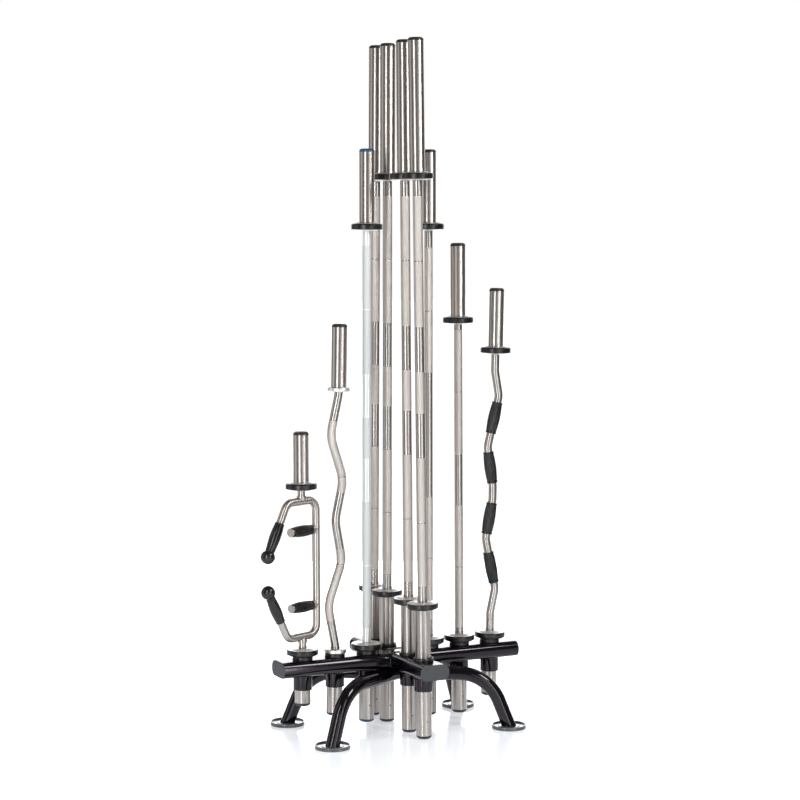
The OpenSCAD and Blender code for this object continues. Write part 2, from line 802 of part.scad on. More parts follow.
module gripped_curl_bar_grips() {
    bar = BARS[5];
    mid = gripped_bar_l / 2;
    color("#2b2b2e")
        for (upper = [false, true])
            at_end(bar, upper) {
                curl_grip([0, mid + gripped_middle_z], [gripped_inner_x, mid + gripped_inner_z],
                    mid + inner_grip_z);
                curl_grip([gripped_inner_x, mid + gripped_inner_z],
                    [gripped_outer_x, mid + gripped_outer_z], mid + outer_grip_z);
            }
}

// Ball end with a blind bore along +Z for the end of its handle.
module ball_end() {
    difference() {
        union() {
            sphere(d = multi_ball_d);
            cylinder(d = ball_neck_d, h = multi_ball_d / 2 + grip_room / 2);
        }
        translate([0, 0, ball_stop - 1])
            cylinder(d = multi_tube_d + 2 * grip_gap, h = multi_ball_d);
    }
}

module multi_grip_bar_grips() {
    bar = BARS[0];
    mid = multi_bar_l / 2;
    color("#2b2b2e")
        for (upper = [false, true])
            at_end(bar, upper)
                rotate([0, 0, multi_turn]) {
                    translate([-multi_ball_x, 0, mid + multi_ball_z])
                        rotate([0, multi_slant, 0]) {
                            ball_end();
                            translate([0, 0, multi_ball_d / 2 + grip_room])
                                barrel_grip(slant_grip_l, multi_grip_d,
                                    multi_tube_d + 2 * grip_gap, 0, 0);
                        }
                    translate([level_grip_x, 0, mid + multi_handle_z])
                        rotate([0, -90, 0])
                            barrel_grip(level_grip_l, multi_grip_d, multi_rod_d + 2 * grip_gap, 0,
                                grip_flutes);
                }
}

long_beam();
front_arm();
rear_arm();
beam_end_caps();
legs();
feet();
socket_tubes();
socket_liners();
multi_grip_bar_grips();
gripped_curl_bar_grips();
for (bar = BARS) {
    shaft(bar);
    at_end(bar, false) sleeve(bar, -1);
    at_end(bar, false) trim(bar);
    at_end(bar, true) sleeve(bar, 1);
    at_end(bar, true) trim(bar);
}
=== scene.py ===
"""Looks of a floor stand with ten barbells: finishes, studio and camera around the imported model.

Sizes are millimetres in each class and become metres when a piece is made. Every bar is turned or
bent from profiles on its own axis, which comes from the frame's joints.
"""

import json
import logging
import math
from collections.abc import Sequence
from dataclasses import dataclass, field
from enum import Enum

import bpy
import numpy as np
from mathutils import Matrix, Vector

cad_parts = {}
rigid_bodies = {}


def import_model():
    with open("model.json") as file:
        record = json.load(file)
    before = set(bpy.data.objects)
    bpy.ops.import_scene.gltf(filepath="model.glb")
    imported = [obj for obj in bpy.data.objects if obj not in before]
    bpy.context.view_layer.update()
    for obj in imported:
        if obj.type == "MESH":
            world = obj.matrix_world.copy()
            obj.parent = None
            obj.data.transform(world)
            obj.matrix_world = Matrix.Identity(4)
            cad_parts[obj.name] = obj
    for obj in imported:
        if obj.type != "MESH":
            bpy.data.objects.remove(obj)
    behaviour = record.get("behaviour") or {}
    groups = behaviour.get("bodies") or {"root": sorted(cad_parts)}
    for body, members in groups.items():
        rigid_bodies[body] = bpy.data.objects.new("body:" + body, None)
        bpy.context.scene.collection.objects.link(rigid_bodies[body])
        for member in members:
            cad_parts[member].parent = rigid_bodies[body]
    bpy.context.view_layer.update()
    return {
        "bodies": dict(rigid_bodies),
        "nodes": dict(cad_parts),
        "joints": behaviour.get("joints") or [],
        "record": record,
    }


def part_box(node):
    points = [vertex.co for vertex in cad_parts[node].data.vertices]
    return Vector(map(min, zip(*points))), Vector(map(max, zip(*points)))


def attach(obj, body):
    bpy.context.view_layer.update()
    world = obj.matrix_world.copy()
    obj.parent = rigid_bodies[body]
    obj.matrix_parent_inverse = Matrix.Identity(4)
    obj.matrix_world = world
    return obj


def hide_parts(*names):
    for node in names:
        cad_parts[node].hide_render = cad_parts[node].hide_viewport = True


LOG = logging.getLogger("stand")
MM = 0.001
Array = np.ndarray
Node = bpy.types.Node
Socket = bpy.types.NodeSocket
# The map that every piece carries: the share of a turn round its axis, and the metres along it.
MAP_NAME = "turn_and_length"
# The part of a noise's range that it mostly keeps to.
NOISE_SPAN = {"From Min": 0.3, "From Max": 0.7}
# Faces that meet at more than this angle keep a sharp edge between them.
SHARP = math.radians(38)


class Slot(Enum):
    """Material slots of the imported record."""

    PAINT = "black_paint"
    END_CAP = "grey_plastic"
    FOOT = "foot_rubber"
    LINER = "black_plastic"
    SHAFT = "shaft_steel"
    SLEEVE = "sleeve_steel"
    TRIM = "black_trim"
    GRIP = "grip_rubber"


class End(Enum):
    """The two ends of a bar, by the name that its nodes use."""

    LOWER = "lower"
    UPPER = "upper"


# Node helpers


def linear(code: str) -> tuple[float, float, float, float]:
    """Turns an sRGB hex colour such as #c0bab4 into linear red, green, blue and alpha.

    Args:
        code: the colour as a hash and six hex digits.

    Returns:
        The linear colour with an alpha of 1.
    """
    parts = [int(code[i : i + 2], 16) / 255 for i in (1, 3, 5)]
    r, g, b = (c / 12.92 if c <= 0.04045 else ((c + 0.055) / 1.055) ** 2.4 for c in parts)
    return r, g, b, 1.0


def feed(tree: bpy.types.NodeTree, node: Node, inputs: dict) -> None:
    """Fills inputs of a node.

    Args:
        tree: the node tree of a material or the world.
        node: the node.
        inputs: for each input's name or number, a value to set, an output socket to link, or a node
            whose first output is linked.
    """
    for key, value in inputs.items():
        source = value.outputs[0] if isinstance(value, Node) else value
        if isinstance(source, Socket):
            tree.links.new(source, node.inputs[key])
        else:
            node.inputs[key].default_value = source


def add_node(tree: bpy.types.NodeTree, kind: str, inputs: dict | None = None, **settings) -> Node:
    """Adds a node with its settings and links.

    Args:
        tree: the node tree of a material or the world.
        kind: the node's type without its ShaderNode prefix.
        inputs: what goes into the node, as in feed.
        **settings: properties of the node, such as operation="ADD".

    Returns:
        The new node.
    """
    node = tree.nodes.new("ShaderNode" + kind)
    for key, value in settings.items():
        setattr(node, key, value)
    feed(tree, node, inputs or {})
    return node


# Finishes


@dataclass(frozen=True)
class Finish:
    """What a surface is made of and how it was made. Sizes of patterns are millimetres.

    The roughness drifts by spread over patches of the surface, and the colour by shade, as handling,
    dust and the process leave them.

    Attributes:
        name: the material's name.
        colour: the surface's colour.
        shade: the colour that it drifts to.
        roughness: its middle roughness.
        spread: how far the roughness drifts to each side.
        patch: width of a patch.
        metallic: 1 for bare metal, and less where a plating scatters the light.
        coat: weight of a clear coat.
        coat_roughness: the coat's roughness.
        brushed: how far the marks of turning stretch a highlight.
        uneven: how far the colour goes towards the shade.
        upright: how many times as high as wide a patch is.
        sheen: tint of the highlights.
    """

    name: str
    colour: str
    shade: str
    roughness: float
    spread: float = 0.03
    patch: float = 60.0
    metallic: float = 0.0
    coat: float = 0.0
    coat_roughness: float = 0.05
    brushed: float = 0.0
    uneven: float = 0.6
    upright: float = 1.0
    sheen: str = "#ffffff"

    def material(self) -> bpy.types.Material:
        """Makes the material, or gives the one that is there already.

        Returns:
            The material.
        """
        made = bpy.data.materials.get(self.name)
        if made:
            return made
        made = bpy.data.materials.new(self.name)
        made.use_nodes = True
        tree = made.node_tree
        here = add_node(tree, "TexCoord").outputs["Object"]
        drawn = {0: here, 1: (1.0, 1.0, 1 / self.upright)}
        grain = {"Vector": add_node(tree, "VectorMath", drawn, operation="MULTIPLY"), "Detail": 3.0}
        patches = add_node(tree, "TexNoise", {**grain, "Scale": 1 / (self.patch * MM)})
        spans = ((self.roughness - self.spread, self.roughness + self.spread), (0.0, self.uneven))
        rough, factor = (
            add_node(tree, "MapRange", {"Value": patches, **NOISE_SPAN, "To Min": low, "To Max": high})
            for low, high in spans
        )
        height, step, dark = self.relief(tree, here)
        # Rubs darken turned steel, and painted shade darkens a knurl's grooves.
        if dark is not None:
            factor = add_node(tree, "Math", {0: factor, 1: dark}, operation="ADD", use_clamp=True)
        colours = {0: factor, 6: linear(self.colour), 7: linear(self.shade)}
        inputs = {
            "Base Color": add_node(tree, "Mix", colours, data_type="RGBA").outputs[2],
            "Metallic": self.metallic,
            "Roughness": rough,
            "Coat Weight": self.coat,
            "Coat Roughness": self.coat_roughness,
            "Specular Tint": linear(self.sheen),
            "Normal": add_node(tree, "Bump", {"Height": height, "Distance": step * MM}),
        }
        if self.brushed:
            inputs["Anisotropic"] = self.brushed
            # The lathe's marks run round the axis, a quarter turn from the map's direction.
            inputs["Anisotropic Rotation"] = 0.25
            inputs["Tangent"] = add_node(tree, "Tangent", direction_type="UV_MAP", uv_map=MAP_NAME)
        feed(tree, tree.nodes["Principled BSDF"], inputs)
        return made

    def relief(self, tree: bpy.types.NodeTree, here: Socket) -> tuple[Node, float, Node | None]:
        """Gives the surface's fine relief.

        Args:
            tree: the material's nodes.
            here: the object coordinates.

        Returns:
            The height from 0 to 1, the relief's full height in millimetres, and how far each point
            takes on the shade's colour, or None.
        """
        raise NotImplementedError


@dataclass(frozen=True)
class Grained(Finish):
    """An even fine grain: a mould's grain on plastic and rubber, or powder coat's low orange peel."""

    grain: float = 2.0
    grain_height: float = 0.12
    detail: float = 2.0

    def relief(self, tree: bpy.types.NodeTree, here: Socket) -> tuple[Node, float, Node | None]:
        """A mould's grain is about 0.3 mm wide and orange peel 2 mm: both are drawn wider, to show."""
        inputs = {"Vector": here, "Scale": 1 / (self.grain * MM), "Detail": self.detail}
        return add_node(tree, "TexNoise", inputs), self.grain_height, None


def wrapped(tree: bpy.types.NodeTree) -> tuple[Socket, Socket]:
    """Gives the piece's own map: the share of a turn round its axis, and the metres along it."""
    parts = add_node(tree, "SeparateXYZ", {0: add_node(tree, "UVMap", uv_map=MAP_NAME)})
    return parts.outputs[0], parts.outputs[1]


@dataclass(frozen=True)
class TurnedSteel(Finish):
    """Steel turned on a lathe and polished: fine rings round the axis and rubs along it."""

    metallic: float = 1.0
    brushed: float = 0.95
    uneven: float = 0.3
    upright: float = 16.0
    ring: float = 1.6
    ring_height: float = 0.0003
    rub: float = 0.12
    rub_l: float = 120.0
    rub_girth: float = 6.0

    def relief(self, tree: bpy.types.NodeTree, here: Socket) -> tuple[Node, float, Node | None]:
        """A lathe's feed is about 0.1 mm; the rings are drawn over ten times as wide so that they show.

        Rubs are streaks along the bar, where discs and sockets slide: noise on a cylinder whose
        radius is the rubs' girth in grains, so that a grain is about 1/40 of a turn wide.

        Args:
            tree: the material's nodes.
            here: the object coordinates, which these patterns don't need.

        Returns:
            What Finish.relief asks for.
        """
        turn, along = wrapped(tree)
        angle = add_node(tree, "Math", {0: turn, 1: 2 * math.pi}, operation="MULTIPLY")
        place = {}
        for axis, wave in enumerate(("COSINE", "SINE")):
            inputs = {0: add_node(tree, "Math", {0: angle}, operation=wave), 1: self.rub_girth}
            place[axis] = add_node(tree, "Math", inputs, operation="MULTIPLY")
        place[2], rings = (
            add_node(tree, "Math", {0: along, 1: length * MM}, operation="DIVIDE")
            for length in (self.rub_l, self.ring)
        )
        grain = {"Vector": add_node(tree, "CombineXYZ", place), "Scale": 1.0, "Detail": 3.0}
        rubs = add_node(tree, "MapRange", {"Value": add_node(tree, "TexNoise", grain), **NOISE_SPAN})
        dark = add_node(tree, "Math", {0: rubs, 1: self.rub}, operation="MULTIPLY")
        height = add_node(tree, "TexNoise", {"W": rings, "Detail": 2.0}, noise_dimensions="1D")
        return height, self.ring_height, dark


@dataclass(frozen=True)
class KnurledSteel(Finish):
    """Steel with a diamond knurl: two sets of grooves that wind round the bar in opposite senses, with
    painted shade in the grooves.
    """

    metallic: float = 1.0
    brushed: float = 0.5
    uneven: float = 0.2
    upright: float = 16.0
    diamonds: int = 28
    slant: float = 1.4
    pitch: float = 3.3
    knurl_height: float = 0.35
    groove_painted_shade: float = 0.45

    def relief(self, tree: bpy.types.NodeTree, here: Socket) -> tuple[Node, float, Node | None]:
        """A real knurl has diamonds about 1.2 mm wide; these are 3 mm wide so that they show.

        With t the turn times the number of diamonds and s the length over the pitch, the height is
        the lesser of two triangle waves, of t + s and of t - s.

        Args:
            tree: the material's nodes.
            here: the object coordinates, which this pattern doesn't need.

        Returns:
            What Finish.relief asks for.
        """
        turn, along = wrapped(tree)
        t = add_node(tree, "Math", {0: turn, 1: float(self.diamonds)}, operation="MULTIPLY")
        s = add_node(tree, "Math", {0: along, 1: self.pitch * self.slant * MM}, operation="DIVIDE")
        sums = (add_node(tree, "Math", {0: t, 1: s}, operation=sign) for sign in ("ADD", "SUBTRACT"))
        waves = [add_node(tree, "Math", {0: total, 1: 0.5}, operation="PINGPONG") for total in sums]
        lesser = add_node(tree, "Math", dict(enumerate(waves)), operation="MINIMUM")
        height = add_node(tree, "Math", {0: lesser, 1: 2.0}, operation="MULTIPLY")
        depth = add_node(tree, "Math", {0: 1.0, 1: height}, operation="SUBTRACT")
        # Painted shade: the deeper a point lies in a groove, the more it takes on the shade colour.
        groove = add_node(tree, "Math", {0: depth, 1: self.groove_painted_shade}, operation="MULTIPLY")
        return height, self.knurl_height, groove


# Gloss black powder coat on welded steel tube: deep black, sharp softbox streaks along each tube.
BLACK_COAT = Grained(
    "gloss_black_powder_coat", "#060408", "#0b090f", 0.09, 0.015, sheen="#efe6f0", grain=5.0,
    grain_height=0.05, detail=1.0,
)
# Injection-moulded polyamide end caps: dark grey, matt.
END_CAP = Grained("grey_moulded_polyamide", "#3c3f42", "#46494c", 0.5, 0.05, grain=1.6)
# Moulded rubber feet: dark grey with a clear sheen.
FOOT_RUBBER = Grained(
    "dark_grey_foot_rubber", "#505255", "#5c5e61", 0.16, 0.03, coat=0.5, grain=2.2, grain_height=0.015
)
# Moulded polyethylene liners: black with a low gloss.
LINER_BLACK = Grained("black_moulded_polyethylene", "#151517", "#1f2022", 0.3, 0.05, grain_height=0.05)
# Turned and hard-chromed sleeves: warm bright steel, clear streaks.
SLEEVE_STEEL = TurnedSteel("turned_hard_chrome", "#b9b3ae", "#a39c97", 0.32, 0.03, rub=0.05)
# The flange's faced side: the same hard chrome painted brighter, a painted highlight, because its rings lie
# across the view.
BRIGHT_PAINTED_STEEL = TurnedSteel("faced_hard_chrome", "#f4f2f1", "#e2e0de", 0.4, 0.03, brushed=0.3, rub=0.05)
# The same steel ground smooth on the shaft between its knurls: narrow clear streaks.
SMOOTH_STEEL = TurnedSteel("ground_shaft_steel", "#b0aba7", "#99948f", 0.24, 0.02, ring=1.2, rub=0.04)
# Knurled shaft steel: scattered light, warm beige grey.
KNURLED = KnurledSteel("knurled_shaft_steel", "#ded8d2", "#a49d97", 0.48, 0.03)
# A shaft plated in bright zinc, knurled and ground: paler and colder than the others.
ZINC_KNURL = KnurledSteel("bright_zinc_knurl", "#e0e3e3", "#c4caca", 0.55, 0.04, metallic=0.4)
ZINC_SMOOTH = TurnedSteel(
    "bright_zinc_ground", "#eef1f1", "#d0d6d8", 0.4, 0.03, metallic=0.6, ring=1.2, rub=0.06
)
# Satin steel tube of the multi-grip frame: soft streaks.
SATIN_STEEL = TurnedSteel("satin_steel_tube", "#b8b2ad", "#a29b95", 0.28, 0.015, ring=2.0, rub=0.03)
# Sintered bronze bearings inside the sleeves: dull brown gold.
BRONZE = TurnedSteel("sintered_bronze", "#9a7446", "#6f5230", 0.45, 0.05)
# Blackened spring steel of the retaining rings and the pins: dark grey with a low shine.
RING_STEEL = TurnedSteel("blackened_spring_steel", "#3a3836", "#262423", 0.4, 0.05)
# Flange rims of hard rubber, polished: black with soft highlights.
RIM_BLACK = Grained("polished_black_rim_rubber", "#0a0a0c", "#131316", 0.3, 0.03, grain_height=0.01)
# Moulded plastic end caps of the sleeves: a soft sheen, black, and blue on one bar.
CAP_BLACK = Grained("black_moulded_cap", "#1b1b1d", "#29292c", 0.4, 0.05, grain_height=0.06)
CAP_BLUE = Grained("blue_moulded_cap", "#24506e", "#2f6488", 0.36, 0.05, grain_height=0.06)
# Ball ends of polished phenolic: black with a small bright spot.
BALL_BLACK = Grained("polished_black_phenolic", "#0f0f11", "#1a1a1d", 0.18, 0.03, grain_height=0.02)
# Moulded grips: black rubber with a low sheen.
GRIP_RUBBER = Grained(
    "black_grip_rubber", "#09090b", "#131316", 0.2, 0.04, patch=18.0, grain=1.4, grain_height=0.03
)


# Surfaces: grids of points worked out as whole arrays, in millimetres


def angles(count: int) -> Array:
    """Gives equal steps round a full turn, in radians, without its end."""
    return np.arange(count) * 2 * math.pi / count


def unit(vectors: Array) -> Array:
    """Gives one vector, or the vector in each row, the length 1."""
    return vectors / np.linalg.norm(vectors, axis=-1, keepdims=True)


def washer(inner: float, outer: float, height: float) -> list[tuple[float, float]]:
    """Gives the corners of a ring's section, from the foot of its bore round to the bore's top."""
    return [(inner, 0), (outer, 0), (outer, height), (inner, height)]


def rounded(corners: Sequence, radii: float | Sequence[float], steps: int = 4, closed: bool = False) -> Array:
    """Rounds the corners of an outline or of a path.

    With u and v the unit vectors from a corner to its neighbours and h half the angle between them, an
    arc of radius r starts and ends r / tan(h) from the corner, and its centre lies r / sin(h) from the
    corner along u + v. A point at share t of the arc is the centre plus
    (sin((1 - t) w) a + sin(t w) b) / sin(w), where a and b run from the centre to the arc's two ends
    and w is the angle between them.

    Args:
        corners: the corners, each with two or three coordinates.
        radii: one radius for all corners, or one for each. A corner with radius 0 stays sharp.
        steps: number of equal steps along each arc.
        closed: whether the last corner joins the first. The ends of an open outline stay as they are.

    Returns:
        The points of the outline in order.
    """
    points = np.asarray(corners, float)
    radius = np.broadcast_to(np.asarray(radii, float), (len(points),)).copy()
    if not closed:
        radius[[0, -1]] = 0
    t = np.linspace(0, 1, steps + 1)[:, None]
    out = []
    for i, (p, r) in enumerate(zip(points, radius)):
        if r <= 0:
            out.append(p[None])
            continue
        u, v = unit(points[i - 1] - p), unit(points[(i + 1) % len(points)] - p)
        half = math.acos(float(np.clip(u @ v, -1, 1))) / 2
        centre = p + unit(u + v) * r / math.sin(half)
        a, b = (p + way * r / math.tan(half) - centre for way in (u, v))
        w = math.pi - 2 * half
        out.append(centre + (np.sin((1 - t) * w) * a + np.sin(t * w) * b) / math.sin(w))
    return np.concatenate(out)


def turned(profile: Array, sides: int = 72) -> Array:
    """Turns a profile round the Z axis: each point (r, z) becomes a ring (r cos t, r sin t, z).

    Args:
        profile: rows of radius and height.
        sides: number of points round the axis.

    Returns:
        A grid of points, one row for each point of the profile.
    """
    t = angles(sides)
    r, z = profile[:, 0, None], profile[:, 1, None]
    return np.stack([r * np.cos(t), r * np.sin(t), z + 0 * t], axis=-1)


def distances(path: Array) -> Array:
    """Gives the distance along a path of each of its points, from 0 at the first."""
    return np.concatenate([[0], np.cumsum(np.linalg.norm(np.diff(path, axis=0), axis=1))])


def hoops(centres: Array, radii: Array, n: Array, a: Array, sides: int) -> Array:
    """Sets a circle round each centre c, with points c + r (cos t n + sin t a).

    Args:
        centres: one centre in each row.
        radii: the radius r of each circle.
        n: a unit vector in each row.
        a: a unit vector in each row, square to n.
        sides: number of points on a circle.

    Returns:
        A grid of points, one row for each circle.
    """
    t = angles(sides)[None, :, None]
    return centres[:, None] + radii[:, None, None] * (np.cos(t) * n[:, None] + np.sin(t) * a[:, None])


def carried(stations: Array, path: Array, sides: int) -> Array:
    """Carries a round section along a path that lies in the plane of X and Z.

    Its circles stand at the stations and at the path's own points, so that the surface follows each
    bend, and square to the path's direction.

    Args:
        stations: rows of distance along the path and radius. The distance never goes back, and two
            rows at one distance make a step.
        path: the path's points, in three coordinates.
        sides: number of points round the path.

    Returns:
        A grid of points, one row for each station.
    """
    along = distances(path)
    ways = np.diff(path, axis=0) / np.diff(along)[:, None]
    heading = np.concatenate([ways[:1], ways[:-1] + ways[1:], ways[-1:]])
    inner = along[(along > stations[0, 0]) & (along < stations[-1, 0])]
    extra = np.column_stack([inner, np.interp(inner, stations[:, 0], stations[:, 1])])
    rows = np.insert(stations, np.searchsorted(stations[:, 0], inner), extra, axis=0)
    centre, way = (
        np.column_stack([np.interp(rows[:, 0], along, c) for c in part.T]) for part in (path, heading)
    )
    across = np.broadcast_to((0.0, 1.0, 0.0), way.shape)
    return hoops(centre, rows[:, 1], unit(np.cross(across, way)), across, sides)


def shifted(x: float = 0, y: float = 0, z: float = 0) -> Array:
    """Gives the matrix of a shift.

    Args:
        x: how far along X.
        y: how far along Y.
        z: how far along Z.

    Returns:
        A 4 by 4 matrix.
    """
    place = np.eye(4)
    place[:3, 3] = x, y, z
    return place


def spun(angle: float, axis: int = 2) -> Array:
    """Gives the matrix of a turn about an axis.

    Args:
        angle: degrees, counterclockwise seen from the axis's far end.
        axis: 0, 1 or 2 for X, Y or Z.

    Returns:
        A 4 by 4 matrix.
    """
    place = np.eye(4)
    i, j = [(1, 2), (2, 0), (0, 1)][axis]
    c, s = math.cos(math.radians(angle)), math.sin(math.radians(angle))
    place[[i, i, j, j], [i, j, i, j]] = c, -s, s, c
    return place


def scaled(x: float = 1, y: float = 1, z: float = 1) -> Array:
    """Gives the matrix of a scale, with negative numbers for a mirror."""
    return np.diag([x, y, z, 1.0])


@dataclass
class Piece:
    """One mesh of closed surfaces, gathered in millimetres and finished in metres.

    Attributes:
        name: the piece's own name.
        finishes: the finishes that its faces use, by number.
    """

    name: str
    finishes: Sequence[Finish]
    points: list[Array] = field(default_factory=list)
    fours: list[Array] = field(default_factory=list)
    threes: list[Array] = field(default_factory=list)
    marks: list[tuple[Array, Array]] = field(default_factory=list)
    maps: list[tuple[Array, Array]] = field(default_factory=list)

    def add(
        self, grid: Array, place: Array | None = None, ring: bool = False, finish: int | Array = 0
    ) -> None:
        """Adds a closed surface that joins the rows of a grid.

        Neighbouring rows are joined by four-sided faces. An open grid's two ends are closed by fans
        round a pole in the middle of the end row. The surface is turned the right way out by the
        sign of its volume, which is the sum over its faces of a . (b x c) / 6.

        Args:
            grid: points by row and by place round the axis.
            place: a 4 by 4 matrix, or None where the grid is in place.
            ring: whether the last row joins the first.
            finish: the number of the finish, or one for each row of faces.
        """
        if place is not None:
            grid = grid @ place[:3, :3].T + place[:3, 3]
        rows, sides = grid.shape[:2]
        index = np.arange(rows * sides).reshape(rows, sides)
        low = index if ring else index[:-1]
        high = np.roll(index, -1, axis=0) if ring else index[1:]
        fours = np.stack([low, np.roll(low, -1, 1), np.roll(high, -1, 1), high], -1).reshape(-1, 4)
        points = grid.reshape(-1, 3)
        along = distances(np.concatenate([grid[:, 0], grid[:1, 0]])) * MM
        turn = np.arange(sides + 1) / sides
        u = np.broadcast_to(np.stack([turn[:-1], turn[1:], turn[1:], turn[:-1]], -1), (len(low), sides, 4))
        v = np.stack([along[: len(low)], along[1 : len(low) + 1]], -1)[:, None, [0, 0, 1, 1]]
        map4 = np.stack([u, np.broadcast_to(v, u.shape)], -1).reshape(-1, 4, 2)
        mark4 = np.repeat(np.broadcast_to(np.asarray(finish), (len(low),)), sides)
        threes, map3, mark3 = np.zeros((0, 3), int), np.zeros((0, 3, 2)), np.zeros(0, int)
        if not ring:
            poles = np.array([grid[0].mean(0), grid[-1].mean(0)])
            first, last, count = index[0], index[-1], len(points)
            fan = [np.stack([np.roll(first, -1), first, 0 * first + count], -1),
                   np.stack([last, np.roll(last, -1), 0 * last + count + 1], -1)]
            threes, points = np.concatenate(fan), np.concatenate([points, poles])
            ends = np.repeat(along[[0, rows - 1]], sides)
            around = np.stack([turn[:-1], turn[1:], (turn[:-1] + turn[1:]) / 2], -1)
            map3 = np.stack([np.concatenate([around[:, [1, 0, 2]], around]),
                             np.repeat(ends[:, None], 3, 1)], -1)
            mark3 = np.concatenate([mark4[:sides], mark4[-sides:]])
        a, b, c, d = (points[fours[:, k]] for k in range(4))
        volume = np.sum(a * np.cross(b, c)) + np.sum(a * np.cross(c, d))
        a, b, c = (points[threes[:, k]] for k in range(3))
        if volume + np.sum(a * np.cross(b, c)) < 0:
            fours, map4, threes, map3 = fours[:, ::-1], map4[:, ::-1], threes[:, ::-1], map3[:, ::-1]
        start = sum(len(p) for p in self.points)
        self.points.append(points)
        self.fours.append(fours + start)
        self.threes.append(threes + start)
        self.marks.append((mark4, mark3))
        self.maps.append((map4, map3))

    def make(self, body: str, slot: Slot, *nodes: str) -> bpy.types.Object:
        """Makes the object, gives it its finishes and sets it on its body.

        Args:
            body: the body that it rides on.
            slot: the record's material slot.
            *nodes: the nodes that it stands for.

        Returns:
            The object, at the origin.
        """
        fours, threes = np.concatenate(self.fours), np.concatenate(self.threes)
        mesh = bpy.data.meshes.new(self.name)
        points = np.concatenate(self.points) * MM
        mesh.vertices.add(len(points))
        mesh.vertices.foreach_set("co", points.ravel())
        mesh.loops.add(fours.size + threes.size)
        mesh.loops.foreach_set("vertex_index", np.concatenate([fours.ravel(), threes.ravel()]))
        mesh.polygons.add(len(fours) + len(threes))
        starts = np.concatenate([np.arange(len(fours)) * 4, fours.size + np.arange(len(threes)) * 3])
        mesh.polygons.foreach_set("loop_start", starts)
        marks = [np.concatenate([m[k] for m in self.marks]) for k in (0, 1)]
        mesh.polygons.foreach_set("material_index", np.concatenate(marks))
        mesh.update(calc_edges=True)
        layer = mesh.uv_layers.new(name=MAP_NAME)
        maps = [np.concatenate([m[k] for m in self.maps]).reshape(-1, 2) for k in (0, 1)]
        layer.data.foreach_set("uv", np.concatenate(maps).ravel())
        mesh.shade_smooth()
        mesh.set_sharp_from_angle(angle=SHARP)
        for finish in self.finishes:
            mesh.materials.append(finish.material())
        return settled(self.name, mesh, body, slot, *nodes)


def linked(name: str, data: bpy.types.ID) -> bpy.types.Object:
    """Makes an object and links it to the scene.

    Args:
        name: the object's name.
        data: its mesh, lamp or camera.

    Returns:
        The object.
    """
    made = bpy.data.objects.new(name, data)
    bpy.context.scene.collection.objects.link(made)
    return made


def settled(name: str, mesh: bpy.types.Mesh, body: str, slot: Slot, *nodes: str) -> bpy.types.Object:
    """Makes an object, sets it on its body and lets it stand for its nodes.

    Args:
        name: the piece's own name.
        mesh: its finished mesh.
        body: the body that it rides on.
        slot: the record's material slot, which is not used.
        *nodes: the nodes that it stands for.

    Returns:
        The object.
    """
    made = linked(name, mesh)
    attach(made, body)
    if nodes:
        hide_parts(*nodes)
    LOG.info("%s: %d faces on %s", made.name, len(made.data.polygons), body)
    return made


# The stand

# The four quarters round the crossing, as signs of x and y.
QUARTERS = [(x, y) for x in (-1, 1) for y in (-1, 1)]


